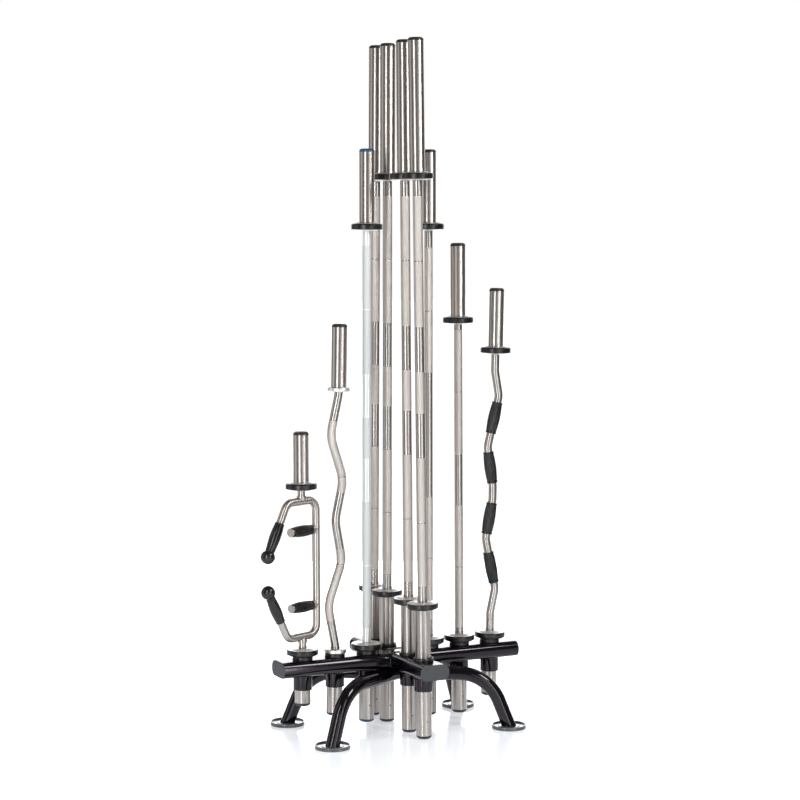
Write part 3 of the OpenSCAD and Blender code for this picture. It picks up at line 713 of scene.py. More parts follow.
@dataclass
class Stand:
    """The welded stand: two flat-oval beams, four legs and ten lined sockets.

    Attributes:
        crossing: where the beams cross, along X.
        beam_round: radius of the flat oval's corners.
        beam_sharp: angle in degrees past which an edge of a beam stays sharp.
        beam_under: height of the beams' underside.
        long_reach: from the crossing to the long beam's end, over its cap.
        arm_reach: from the crossing to an arm's end, over its cap.
        cap_face_in: how far in from the outline a cap's flat face is closed.
        cap_gap: from the outline in to the cap's plug.
        arm_first: from the crossing to an arm's first socket.
        socket_drop: how far a socket tube reaches below the beam.
        collar_lead: size of the bevel in a liner's mouth.
        leg_reach: from the crossing to a foot's middle.
        leg_slope: angle of a leg's lower stretch from level, in degrees.
        leg_room: space between a leg and the nearest socket.
        foot_groove: depth of the groove round a foot.
        foot_dish: how far a foot's dish lies below its pad.
        weld_gap: space between pieces that are welded together.
        bead: radius of a weld bead.
        bead_swell: share by which its ripples swell.
        bead_out: how far a bead's middle lies outside the socket and below the beam.
        bead_lift: how far the bead on the long beam's side stands off that side.
    """

    crossing: float
    beam_w: float = 100.0
    beam_h: float = 50.0
    beam_round: float = 22.0
    beam_sharp: float = 30.0
    beam_under: float = 200.0
    long_reach: float = 421.0
    arm_reach: float = 268.0
    cap_t: float = 4.0
    cap_face_in: float = 14.0
    cap_edge: float = 1.5
    cap_gap: float = 3.2
    cap_plug_wall: float = 3.0
    cap_plug_l: float = 16.0
    long_pitch: float = 112.0
    arm_first: float = 83.0
    arm_pitch: float = 102.5
    socket_d: float = 60.0
    socket_wall: float = 2.0
    socket_drop: float = 46.0
    liner_bore: float = 53.0
    liner_d: float = 55.6
    collar_d: float = 64.0
    collar_h: float = 10.0
    collar_lead: float = 1.5
    leg_d: float = 45.0
    leg_reach: float = 360.0
    leg_slope: float = 68.0
    leg_bend: float = 140.0
    leg_room: float = 3.0
    foot_d: float = 112.0
    foot_h: float = 12.0
    foot_pad_d: float = 66.0
    foot_pad_h: float = 8.0
    foot_rim_w: float = 4.0
    foot_groove: float = 1.0
    foot_dish: float = 2.0
    weld_gap: float = 0.2
    bead: float = 2.4
    bead_ripples: int = 36
    bead_swell: float = 0.08
    bead_out: float = 0.6
    bead_lift: float = 0.4

    @property
    def leg_turn(self) -> float:
        """Angle of a leg from the long beam, which lets it pass the nearest socket."""
        clear = (self.leg_d + self.socket_d) / 2 + self.leg_room
        return math.degrees(math.asin(clear / self.long_pitch))

    @property
    def middle(self) -> Array:
        """Where the beams cross."""
        return shifted(self.crossing)

    @property
    def sockets(self) -> list[tuple[float, float]]:
        """Places of the ten sockets.

        Returns:
            Each socket's distance from the crossing along the long beam and along the arms.
        """
        row = [(k * self.long_pitch, 0.0) for k in (-3, -2, -1, 1, 2, 3)]
        second = self.arm_first + self.arm_pitch
        return row + [(0.0, y) for y in (-second, -self.arm_first, self.arm_first, second)]

    def flat_oval(self, inset: Array, steps: int = 9) -> Array:
        """Draws the tube's outline, drawn in by each inset: quarter circles round four centres.

        A point is its corner's centre plus (r - inset) (cos t, sin t), with r the corner's radius.

        Args:
            inset: how far each row of the result is drawn in.
            steps: number of steps along each quarter.

        Returns:
            Points by inset and by place round the tube, across and up.
        """
        t = np.linspace(0, math.pi / 2, steps + 1)
        t = np.concatenate([t + k * math.pi / 2 for k in range(4)])
        half = np.array([self.beam_w, self.beam_h]) / 2 - self.beam_round
        signs = np.repeat(np.array([(1, 1), (-1, 1), (-1, -1), (1, -1)]), steps + 1, axis=0)
        radius = self.beam_round - inset[:, None, None]
        return signs * half + radius * np.stack([np.cos(t), np.sin(t)], -1)

    def end_caps(self) -> None:
        """Makes the four caps: each outline is drawn in along the cap's edge, face and hollow plug."""
        near, far = self.cap_gap, self.cap_gap + self.cap_plug_wall
        edge = rounded(
            [(self.cap_face_in, self.cap_t), (0, self.cap_t), (0, 0), (near, 0), (near, -self.cap_plug_l),
             (far, -self.cap_plug_l), (far, 0)],
            [0, self.cap_edge, 0.3, 0, 0.6, 0, 0],
        )
        outline = self.flat_oval(edge[:, 0])
        depth = np.broadcast_to(edge[:, 1, None] - self.cap_t, outline.shape[:2])
        height = outline[..., 1] + self.beam_under + self.beam_h / 2
        piece = Piece("beam_end_caps_moulded", [END_CAP])
        for turn in (0, 180, 90, 270):
            reach = self.long_reach if turn % 180 else self.arm_reach
            piece.add(np.stack([outline[..., 0], depth + reach, height], -1), self.middle @ spun(turn))
        piece.make("rack", Slot.END_CAP, "beam_end_caps")

    def leg_path(self) -> Array:
        """Draws the leg's axis in its own upright plane.

        Returns:
            The path's points: level under the beam, round the bend, then down to the foot's pad.
        """
        level = self.beam_under - self.weld_gap - self.leg_d / 2
        slope = math.radians(self.leg_slope)
        corner = self.leg_reach - (level - self.foot_pad_h) / math.tan(slope)
        foot = np.array([self.leg_reach, 0, self.foot_pad_h])
        return rounded([(0, 0, level), (corner, 0, level), foot], self.leg_bend, 24)

    def legs(self) -> None:
        """Makes the four legs.

        Each is a round tube whose two end rings slide along the tube onto the planes that cut it: the
        two planes of the crossing, where the legs meet, and the top of the foot's pad.
        """
        path = self.leg_path()
        length = distances(path)[-1]
        grid = carried(np.array([[0, self.leg_d / 2], [length, self.leg_d / 2]]), path, 64)
        down = unit(path[-1] - path[-2])
        fall = (self.foot_pad_h + self.weld_gap - grid[-1, :, 2]) / down[2]
        grid[-1] += fall[:, None] * down
        way = spun(self.leg_turn)[:3, :3]
        grid = grid @ way.T
        out = way @ [1, 0, 0]
        back = np.maximum(*((self.weld_gap / 2 - grid[0, :, k]) / out[k] for k in (0, 1)))
        grid[0] += back[:, None] * out
        piece = Piece("legs_bent_tube", [BLACK_COAT])
        for x, y in QUARTERS:
            piece.add(grid, self.middle @ scaled(x, y))
        piece.make("rack", Slot.PAINT, "legs")

    def feet(self) -> None:
        """Makes the four moulded feet: a rim with a lip, a shallow dish and a pad under the leg."""
        edge, pad = self.foot_d / 2, self.foot_pad_d / 2
        middle, cut, inside = self.foot_h / 2, self.foot_groove, edge - self.foot_rim_w
        top, dish = self.foot_pad_h, self.foot_dish
        profile = rounded(
            [(pad, 0), (edge, 0), (edge, middle - cut), (edge - cut, middle), (edge, middle + cut),
             (edge, self.foot_h), (inside, self.foot_h), (inside - dish, top - dish / 2),
             (pad + dish, top - dish), (pad, top), (pad / 2, top)],
            [0, 1.5, 0.3, 0.3, 0.3, 1.2, 0.8, 0.8, 0.8, 0.5, 0],
        )
        piece = Piece("feet_moulded", [FOOT_RUBBER])
        at = spun(self.leg_turn)[:2, 0] * self.leg_reach
        for x, y in QUARTERS:
            piece.add(turned(profile, 96), self.middle @ shifted(x * at[0], y * at[1]))
        piece.make("rack", Slot.FOOT, "feet")

    def socket_parts(self) -> None:
        """Makes the ten socket tubes and the ten liners with their collars."""
        foot, rise = self.beam_under - self.socket_drop, self.socket_drop + self.beam_h
        outer, inner = self.socket_d / 2, self.socket_d / 2 - self.socket_wall
        tube = rounded(washer(inner, outer, rise - self.weld_gap), 0.6, 3, closed=True)
        bore, wall, collar = self.liner_bore / 2, self.liner_d / 2, self.collar_d / 2
        top = rise + self.collar_h
        liner = rounded([(bore, 0), (wall, 0), (wall, rise), (collar, rise), (collar, top),
                         (bore + self.collar_lead, top), (bore, top - self.collar_lead)],
                        [0.4, 0.4, 0, 0.3, 1.2, 0.5, 0.5], 3, closed=True)
        tubes = Piece("socket_tubes_painted", [BLACK_COAT])
        liners = Piece("socket_liners_moulded", [LINER_BLACK])
        for x, y in self.sockets:
            place = self.middle @ shifted(x, y, foot)
            tubes.add(turned(tube), place, ring=True)
            liners.add(turned(liner), place, ring=True)
        tubes.make("rack", Slot.PAINT, "socket_tubes")
        liners.make("rack", Slot.LINER, "socket_liners")

    def beams(self) -> None:
        """Dresses the three beams: merged copies whose flat faces keep flat normals."""
        for node in ("long_beam", "front_arm", "rear_arm"):
            source = bpy.data.objects[node].data
            points = np.empty(len(source.vertices) * 3, np.float32)
            source.vertices.foreach_get("co", points)
            merged, back = np.unique(points.reshape(-1, 3).round(6), axis=0, return_inverse=True)
            corners = np.empty(len(source.loops), np.int32)
            source.loops.foreach_get("vertex_index", corners)
            corners = back.ravel()[corners].reshape(-1)
            starts = np.empty(len(source.polygons), np.int32)
            source.polygons.foreach_get("loop_start", starts)
            faces = [list(dict.fromkeys(face.tolist())) for face in np.split(corners, starts[1:])]
            mesh = bpy.data.meshes.new(node + "_painted")
            mesh.from_pydata(merged.tolist(), [], [face for face in faces if len(face) > 2])
            mesh.shade_smooth()
            mesh.set_sharp_from_angle(angle=math.radians(self.beam_sharp))
            mesh.materials.append(BLACK_COAT.material())
            made = settled(mesh.name, mesh, "rack", Slot.PAINT, node)
            made.modifiers.new("flat_faces", "WEIGHTED_NORMAL").keep_sharp = True

    def beads(self) -> None:
        """Makes the weld beads: round each socket under the beam, and where an arm meets the beam.

        A bead is a round rope whose radius swells a little at each ripple: r (1 + s cos k t). On the
        long beam's side it follows the arm's outline, pushed out to the side's own curve.
        """
        piece = Piece("weld_beads_painted", [BLACK_COAT])
        t, section = angles(144)[:, None], angles(12)
        ripple = self.bead * (1 + self.bead_swell * np.cos(self.bead_ripples * t))
        radius = self.socket_d / 2 + self.bead_out + ripple * np.cos(section)
        height = self.beam_under - self.bead_out + ripple * np.sin(section)
        grid = np.stack([radius * np.cos(t), radius * np.sin(t), height], -1)
        for x, y in self.sockets:
            piece.add(grid, self.middle @ shifted(x, y), ring=True)
        outline = self.flat_oval(np.array([-self.bead_lift]), 14)[0]
        flat = self.beam_h / 2 - self.beam_round
        rise = np.clip(np.abs(outline[:, 1]) - flat, 0, self.beam_round)
        side = self.beam_w / 2 - self.beam_round + np.sqrt(self.beam_round**2 - rise**2) + self.bead_lift
        path = np.stack([outline[:, 0], side, outline[:, 1] + self.beam_under + self.beam_h / 2], -1)
        way = unit(np.roll(path, -1, 0) - np.roll(path, 1, 0))
        outward = unit(np.cross(way, (0, 1, 0)))
        grid = hoops(path, np.full(len(path), self.bead), outward, np.cross(outward, way), 12)
        for y in (-1, 1):
            piece.add(grid, self.middle @ scaled(y=y), ring=True)
        piece.make("rack", Slot.PAINT)

    def build(self) -> None:
        """Makes every piece of the stand."""
        self.beams()
        self.end_caps()
        self.legs()
        self.feet()
        self.socket_parts()
        self.beads()


# The bars


class Band(Enum):
    """How a stretch of a shaft is finished, with how far it lies below the knurl, in millimetres."""

    GROUND = 0.15
    KNURL = 0.0
    MARK = 0.4


@dataclass
class Bar:
    """A bar with two turning sleeves, on its own axis with Z up from its lower end.

    Attributes:
        name: the bar's name in the frame.
        joints: the frame's joints by name.
        sleeve: length of a sleeve below its flange.
        shaft_d: diameter of the shaft.
        bands: for each band of the shaft, from the bar's middle outwards, its outer end's distance
            from the middle and its finish. The last band runs on to the flange.
        bends: sideways reach, and distance from the middle, of the corners on the upper half.
        straight_end: length of the straight stretch behind a flange, on a bent bar.
        grips: distance from the bar's middle to the near end of each grip on the upper half.
        caps: finish of the sleeves' end caps.
        ground: finish of the shaft's ground stretches.
        knurl: finish of its knurled stretches.
        rimmed: whether the flanges have a rubber rim. The others are plain discs.
        cap_plate: thickness of a cap's plate inside its plug.
        well_step: how much wider the cap's well is than the bearings' seats, in radius.
        seat_step: how much narrower the bore between the seats is, in radius.
        tip_gap: from the cap's plug to the journal's tip.
        tip_l: from the journal's tip to its retaining ring.
        rim_flat: width of the rim's flat root on the side without a faced ring.
        rim_dark: width of the black edge outside the faced ring.
        rim_out_drop: how far the rim's edge lies lower than its root, on the faced side.
        rim_in_drop: the same at the faced ring's outer edge.
        hub_end_d: diameter of the flange's hub at its two ends.
        pin_up: from the cap up to the pin in the sleeve's side.
        pin_sunk: how deep the pin's foot lies in that side.
        end_play: space along the bar between shaft and sleeve.
        lip_gap: space between the shaft and the flange's lip, in radius.
        fit: space round a bearing, in radius.
    """

    name: str
    joints: dict[str, dict]
    sleeve: float
    shaft_d: float
    bands: Sequence[tuple[float, Band]] = ()
    bends: Sequence[tuple[float, float]] = ()
    straight_end: float = 12.0
    grips: Sequence[float] = ()
    caps: Finish = CAP_BLACK
    ground: Finish = SMOOTH_STEEL
    knurl: Finish = KNURLED
    rimmed: bool = True
    bend_r: float = 60.0
    sleeve_d: float = 50.0
    cap_t: float = 10.0
    cap_round: float = 9.0
    cap_plug_l: float = 12.0
    cap_plug_wall: float = 3.0
    cap_plate: float = 1.0
    well_step: float = 1.0
    seat_step: float = 2.0
    tip_gap: float = 1.0
    tip_l: float = 5.0
    chamfer: float = 1.0
    shoulder: float = 0.5
    journal_d: float = 22.0
    bearing_d: float = 36.0
    bearing_l: float = 30.0
    ring_t: float = 1.5
    ring_d: float = 31.0
    ring_groove: float = 1.2
    flange_d: float = 100.0
    rim_w: float = 8.0
    rim_h: float = 13.0
    rim_root_h: float = 19.0
    rim_flat: float = 2.5
    rim_dark: float = 3.2
    rim_out_drop: float = 1.6
    rim_in_drop: float = 0.2
    hub_h: float = 27.0
    hub_end_d: float = 60.0
    hub_lip: float = 3.0
    plain_flange_d: float = 71.0
    plain_flange_t: float = 14.0
    plain_flange_round: float = 4.0
    pin_d: float = 4.5
    pin_up: float = 46.0
    pin_l: float = 2.0
    pin_sunk: float = 1.9
    end_play: float = 0.4
    lip_gap: float = 0.5
    fit: float = 0.05
    cap_gap: float = 0.2
    grip_l: float = 104.0
    grip_d: float = 39.0
    grip_taper: float = 7.0
    grip_band: float = 1.5
    grip_band_w: float = 6.0
    grip_fit: float = 0.1
    ribs: int = 40
    rib_depth: float = 0.6

    def __post_init__(self) -> None:
        """Reads the bar's place and length from the frame's joints."""
        low, high = (np.array(self.joints[f"{self.name}_{end.value}_spin"]["pos_m"]) / MM for end in End)
        axis = np.array(self.joints[self.name + "_lift"]["axis"])
        middle = (self.sleeve + self.flange_h) / 2
        self.length = float((high - low) @ axis) + 2 * middle
        self.place = np.eye(4)
        self.place[:3, 0] = axis[2], 0, -axis[0]
        self.place[:3, 2] = axis
        self.place[:3, 3] = low - axis * middle

    @property
    def flange_h(self) -> float:
        """Height of a flange along the bar."""
        return self.hub_h if self.rimmed else self.plain_flange_t

    @property
    def tip(self) -> float:
        """Height of a journal's tip, just inside the cap's plug."""
        return self.cap_t + self.cap_plug_l + self.tip_gap

    @property
    def ring_foot(self) -> float:
        """Height of the retaining ring up the sleeve."""
        return self.tip + self.tip_l

    @property
    def seat_foot(self) -> float:
        """Height of the outer bearing's seat."""
        return self.ring_foot + self.ring_t

    @property
    def shaft_foot(self) -> float:
        """Height at which the full shaft starts, inside the flange's lip."""
        return self.sleeve + self.flange_h - self.hub_lip + self.end_play / 2

    def at(self, end: End) -> Array:
        """Gives the place of one end.

        Args:
            end: the end.

        Returns:
            A 4 by 4 matrix that sets the origin on the bar's tip, with Z pointing into the bar.
        """
        if end is End.LOWER:
            return self.place
        return self.place @ shifted(z=self.length) @ scaled(z=-1)

    def flange_outline(self) -> tuple[list, list]:
        """Draws the flange: a double cone under its rim, or a plain disc.

        Returns:
            The outline's corners from the sleeve to the lip, and the radius of each.
        """
        if self.rimmed:
            edge = self.flange_d / 2 - self.rim_w
            low, high = ((self.hub_h + s * self.rim_root_h) / 2 for s in (-1, 1))
            points = [(self.hub_end_d / 2, 0), (edge, low), (edge, high), (self.hub_end_d / 2, self.hub_h)]
            radii = [1.2, 0.4, 0.4, 1.2]
        else:
            edge = self.plain_flange_d / 2
            points = [(edge, 0), (edge, self.plain_flange_t)]
            radii = [self.plain_flange_round] * 2
        return [(r, z + self.sleeve) for r, z in points], radii

    def sleeve_profile(self) -> Array:
        """Draws the sleeve's section.

        Returns:
            A closed outline: side, flange, lip, two bearing seats with a bore between, and the cap's
            well.
        """
        r, seat = self.sleeve_d / 2, self.bearing_d / 2
        bore, well = seat - self.seat_step, seat + self.well_step
        top = self.sleeve + self.flange_h
        lip, room = self.shaft_d / 2 + self.lip_gap, self.bearing_l + self.end_play
        under = top - self.hub_lip
        low, high = self.seat_foot + room, under - room
        flange, rounds = self.flange_outline()
        points = [(r, self.cap_t), (r, self.sleeve), *flange, (lip, top), (lip, under), (seat, under),
                  (seat, high), (bore, high), (bore, low), (seat, low), (seat, self.seat_foot),
                  (well, self.seat_foot), (well, self.cap_t)]
        return rounded(points, [0.5, 1.2, *rounds, 0.8] + [0] * 9, 3, closed=True)

    def sleeves(self) -> None:
        """Makes both sleeves, each with its two bearings and the dark pin in its side."""
        inner, outer = self.journal_d / 2 + self.fit, self.bearing_d / 2 - self.fit
        section = rounded(washer(inner, outer, self.bearing_l), 0.5, 2, closed=True)
        pin = rounded(washer(self.pin_d / 4, self.pin_d / 2, self.pin_l), [0, 0, 0.3, 0], 2)
        for end in End:
            node = f"{self.name}_{end.value}_sleeve"
            piece = Piece(node + "_turned", [SLEEVE_STEEL, BRONZE, RING_STEEL, BRIGHT_PAINTED_STEEL])
            profile = self.sleeve_profile()
            # Faces that stand out past the sleeve, on the flange, take the hard chrome painted bright: a
            # painted highlight.
            faced_painted_bright = (profile + np.roll(profile, -1, axis=0))[:, 0] / 2 > self.sleeve_d / 2 + 1
            piece.add(turned(profile), self.at(end), ring=True, finish=3 * faced_painted_bright)
            inner_foot = self.shaft_foot - self.bearing_l - self.end_play
            for foot in (self.seat_foot + self.end_play / 2, inner_foot):
                piece.add(turned(section, 48), self.at(end) @ shifted(z=foot), ring=True, finish=1)
            front = spun(180 if end is End.UPPER else 0)
            hole = shifted(y=self.pin_sunk - self.sleeve_d / 2, z=self.cap_t + self.pin_up)
            side = front @ hole @ spun(90, 0)
            piece.add(turned(pin, 24), self.at(end) @ side, finish=2)
            piece.make(node, Slot.SLEEVE, node)

    def trims(self) -> None:
        """Makes the end caps, each with its hollow plug, and the flange rims."""
        r, plug = self.sleeve_d / 2 - self.cap_gap, self.bearing_d / 2 + self.well_step - self.cap_gap
        top, wall = self.cap_t + self.cap_plug_l, plug - self.cap_plug_wall
        floor = self.cap_t - self.cap_plate
        cap = rounded([(r / 2, 0), (r, 0), (r, self.cap_t), (plug, self.cap_t), (plug, top), (wall, top),
                       (wall, floor), (wall / 2, floor)], [0, self.cap_round, 0.4, 0, 0.5, 0, 0, 0], 6)
        root, edge = self.flange_d / 2 - self.rim_w + self.fit, self.flange_d / 2
        flat, a, b = root + self.rim_flat, self.rim_root_h / 2, self.rim_h / 2
        bright, shelf = edge - self.rim_dark, a - self.rim_in_drop
        rim = rounded([(root, -a), (flat, -a), (edge, -b), (edge, a - self.rim_out_drop), (bright, shelf),
                       (root, a)], [0.2, 1.0, 1.6, 1.0, 0.2, 0.2], 4, closed=True)
        for end in End:
            node = f"{self.name}_{end.value}_trim"
            piece = Piece(node + "_moulded", [self.caps, RIM_BLACK, BRIGHT_PAINTED_STEEL])
            piece.add(turned(cap), self.at(end))
            if self.rimmed:
                middle = self.at(end) @ shifted(z=self.sleeve + self.hub_h / 2)
                halves = (rim + np.roll(rim, -1, axis=0)) / 2
                # The rim's top ring, inside its black edge, takes the hard chrome painted bright: a painted
                # highlight.
                faced_painted_bright = (halves[:, 1] > shelf - 0.1) & (halves[:, 0] < bright + 0.1)
                piece.add(turned(rim, 120), middle, ring=True, finish=1 + faced_painted_bright)
            piece.make(f"{self.name}_{end.value}_sleeve", Slot.TRIM, node)

    def journal(self) -> list[tuple[float, float]]:
        """Draws a journal with its ring's groove.

        Returns:
            Height and radius of each corner, from the tip up to the full shaft.
        """
        r, groove = self.journal_d / 2, self.journal_d / 2 - self.ring_groove
        low, high = self.ring_foot - 2 * self.fit, self.ring_foot + self.ring_t + 2 * self.fit
        full, foot = self.shaft_d / 2 - Band.GROUND.value, self.shaft_foot
        step = self.shoulder
        return [(self.tip, r - self.chamfer), (self.tip + self.chamfer, r), (low, r), (low, groove),
                (high, groove), (high, r), (foot, r), (foot, full - step), (foot + step, full)]

    def rings(self, piece: Piece, finish: int) -> None:
        """Adds the two retaining rings.

        Args:
            piece: the piece that takes them.
            finish: the number of their finish.
        """
        inner, outer = self.journal_d / 2 - self.ring_groove + 2 * self.fit, self.ring_d / 2
        section = np.array(washer(inner, outer, self.ring_t))
        for end in End:
            piece.add(turned(section, 48), self.at(end) @ shifted(z=self.ring_foot), ring=True, finish=finish)

    def path(self) -> Array:
        """Draws the shaft's axis, straight or with the same bends on both halves.

        Returns:
            The path's points from tip to tip.
        """
        half = self.length / 2
        upper = [*self.bends, (0.0, half - self.shaft_foot - self.straight_end)] if self.bends else []
        upper = np.array([*upper, (0.0, half - self.tip)])
        lower = upper[::-1] * (1, -1)
        corners = np.concatenate([lower[:-1] if upper[0, 1] == 0 else lower, upper])
        return rounded(np.insert(corners + (0, half), 1, 0, axis=1), self.bend_r, 12)

    def shaft(self) -> None:
        """Makes the shaft, band by band, with a journal at each end.

        Each band gives two stations at its own radius, and a ring mark is a shallow groove. The list
        runs from the middle out to a tip, and the other half is its mirror image.
        """
        path = self.path()
        half = distances(path)[-1] / 2
        flange = half + self.tip - self.shaft_foot - self.shoulder
        ends = np.array([0.0, *(end for end, _ in self.bands), flange])
        kinds = [kind for _, kind in self.bands] + [Band.GROUND]
        radii = np.repeat([self.shaft_d / 2 - kind.value for kind in kinds], 2)
        rows = np.column_stack([np.repeat(ends, 2)[1:-1], radii])
        tail = np.array([(half + self.tip - s, r) for s, r in self.journal()[:-1]])[::-1]
        rows = np.concatenate([rows, tail])
        stations = np.concatenate([rows[:0:-1] * (-1, 1), rows[1:]]) + (half, 0)
        grid = carried(stations, path, 64)
        along = distances(grid.mean(axis=1))
        middle = np.abs((along[:-1] + along[1:]) / 2 - along[-1] / 2)
        which = np.searchsorted(ends, middle).clip(1, len(kinds)) - 1
        knurled = np.array([kind is Band.KNURL for kind in kinds])[which].astype(int)
        piece = Piece(self.name + "_shaft_turned", [self.ground, self.knurl, RING_STEEL])
        piece.add(grid, self.place, finish=knurled)
        self.rings(piece, 2)
        piece.make(self.name + "_shaft", Slot.SHAFT, self.name + "_shaft")

    def grip_pieces(self) -> None:
        """Makes the ribbed grips on the straight stretches between the bends."""
        if not self.grips:
            return
        corners = np.array(self.bends)
        middle, bore = self.length / 2, self.shaft_d / 2 + self.grip_fit
        grid = barrel(self.grip_l, self.grip_d, self.grip_taper, bore, self.grip_band, self.grip_band_w,
                      self.ribs, self.rib_depth)
        piece = Piece(self.name + "_grips_moulded", [GRIP_RUBBER])
        for k, near in enumerate(self.grips):
            way = unit(corners[k + 1] - corners[k])
            start = corners[k] + way * (near - corners[k, 1]) / way[1]
            place = shifted(start[0], 0, middle + start[1]) @ spun(math.degrees(math.atan2(*way)), 1)
            for end in End:
                piece.add(grid, self.at(end) @ place, ring=True)
        piece.make(self.name + "_shaft", Slot.GRIP, self.name + "_grips")

    def build(self) -> None:
        """Makes every piece of the bar."""
        self.shaft()
        self.grip_pieces()
        self.sleeves()
        self.trims()


def barrel(length: float, middle_d: float, taper: float, bore: float, band: float, band_w: float,
           ribs: int, depth: float) -> Array:
    """Draws a grip along Z: a barrel with a band at each end and ribs along its side.

    At height z the side's radius is (d - taper) / 2 + taper / 2 sin(pi z / length), less the ribs'
    depth times (1 - cos(ribs t)) / 2 at the angle t. The ribs fade in over the end bands' width.

    Args:
        length: length of the grip.
        middle_d: its diameter at the middle.
        taper: how much thinner its ends are.
        bore: radius of its bore.
        band: height of the end bands above the side.
        band_w: their width.
        ribs: number of ribs.
        depth: depth of the grooves between them.

    Returns:
        A closed ring of rows: the bore, an end, the side and the other end.
    """
    step, flare, fade_l = 1.0, 0.4, 5.0
    low, high = band_w + step, length - band_w - step
    z = np.linspace(0, length, 33)
    z = np.concatenate([[low], z[(z > low) & (z < high)], [high]])
    side = (middle_d - taper) / 2 + taper / 2 * np.sin(math.pi * z / length)
    edge = (middle_d - taper) / 2 + band + flare
    ends = rounded([(bore, 0), (edge, 0), (edge, band_w), (side[0], low)], [0, 1.2, 0.4, 0], 3)[:-1]
    rows = np.concatenate([ends, np.column_stack([side, z]), (ends * (1, -1) + (0, length))[::-1]])
    fade = np.zeros(len(rows))
    fade[len(ends) : -len(ends)] = np.clip(np.minimum(z - band_w, length - band_w - z) / fade_l, 0, 1)
    t = angles(ribs * 6 if ribs else 72)
    r = rows[:, 0, None] - depth * fade[:, None] * (1 - np.cos(ribs * t)) / 2
    return np.stack([r * np.cos(t), r * np.sin(t), rows[:, 1, None] + 0 * t], -1)


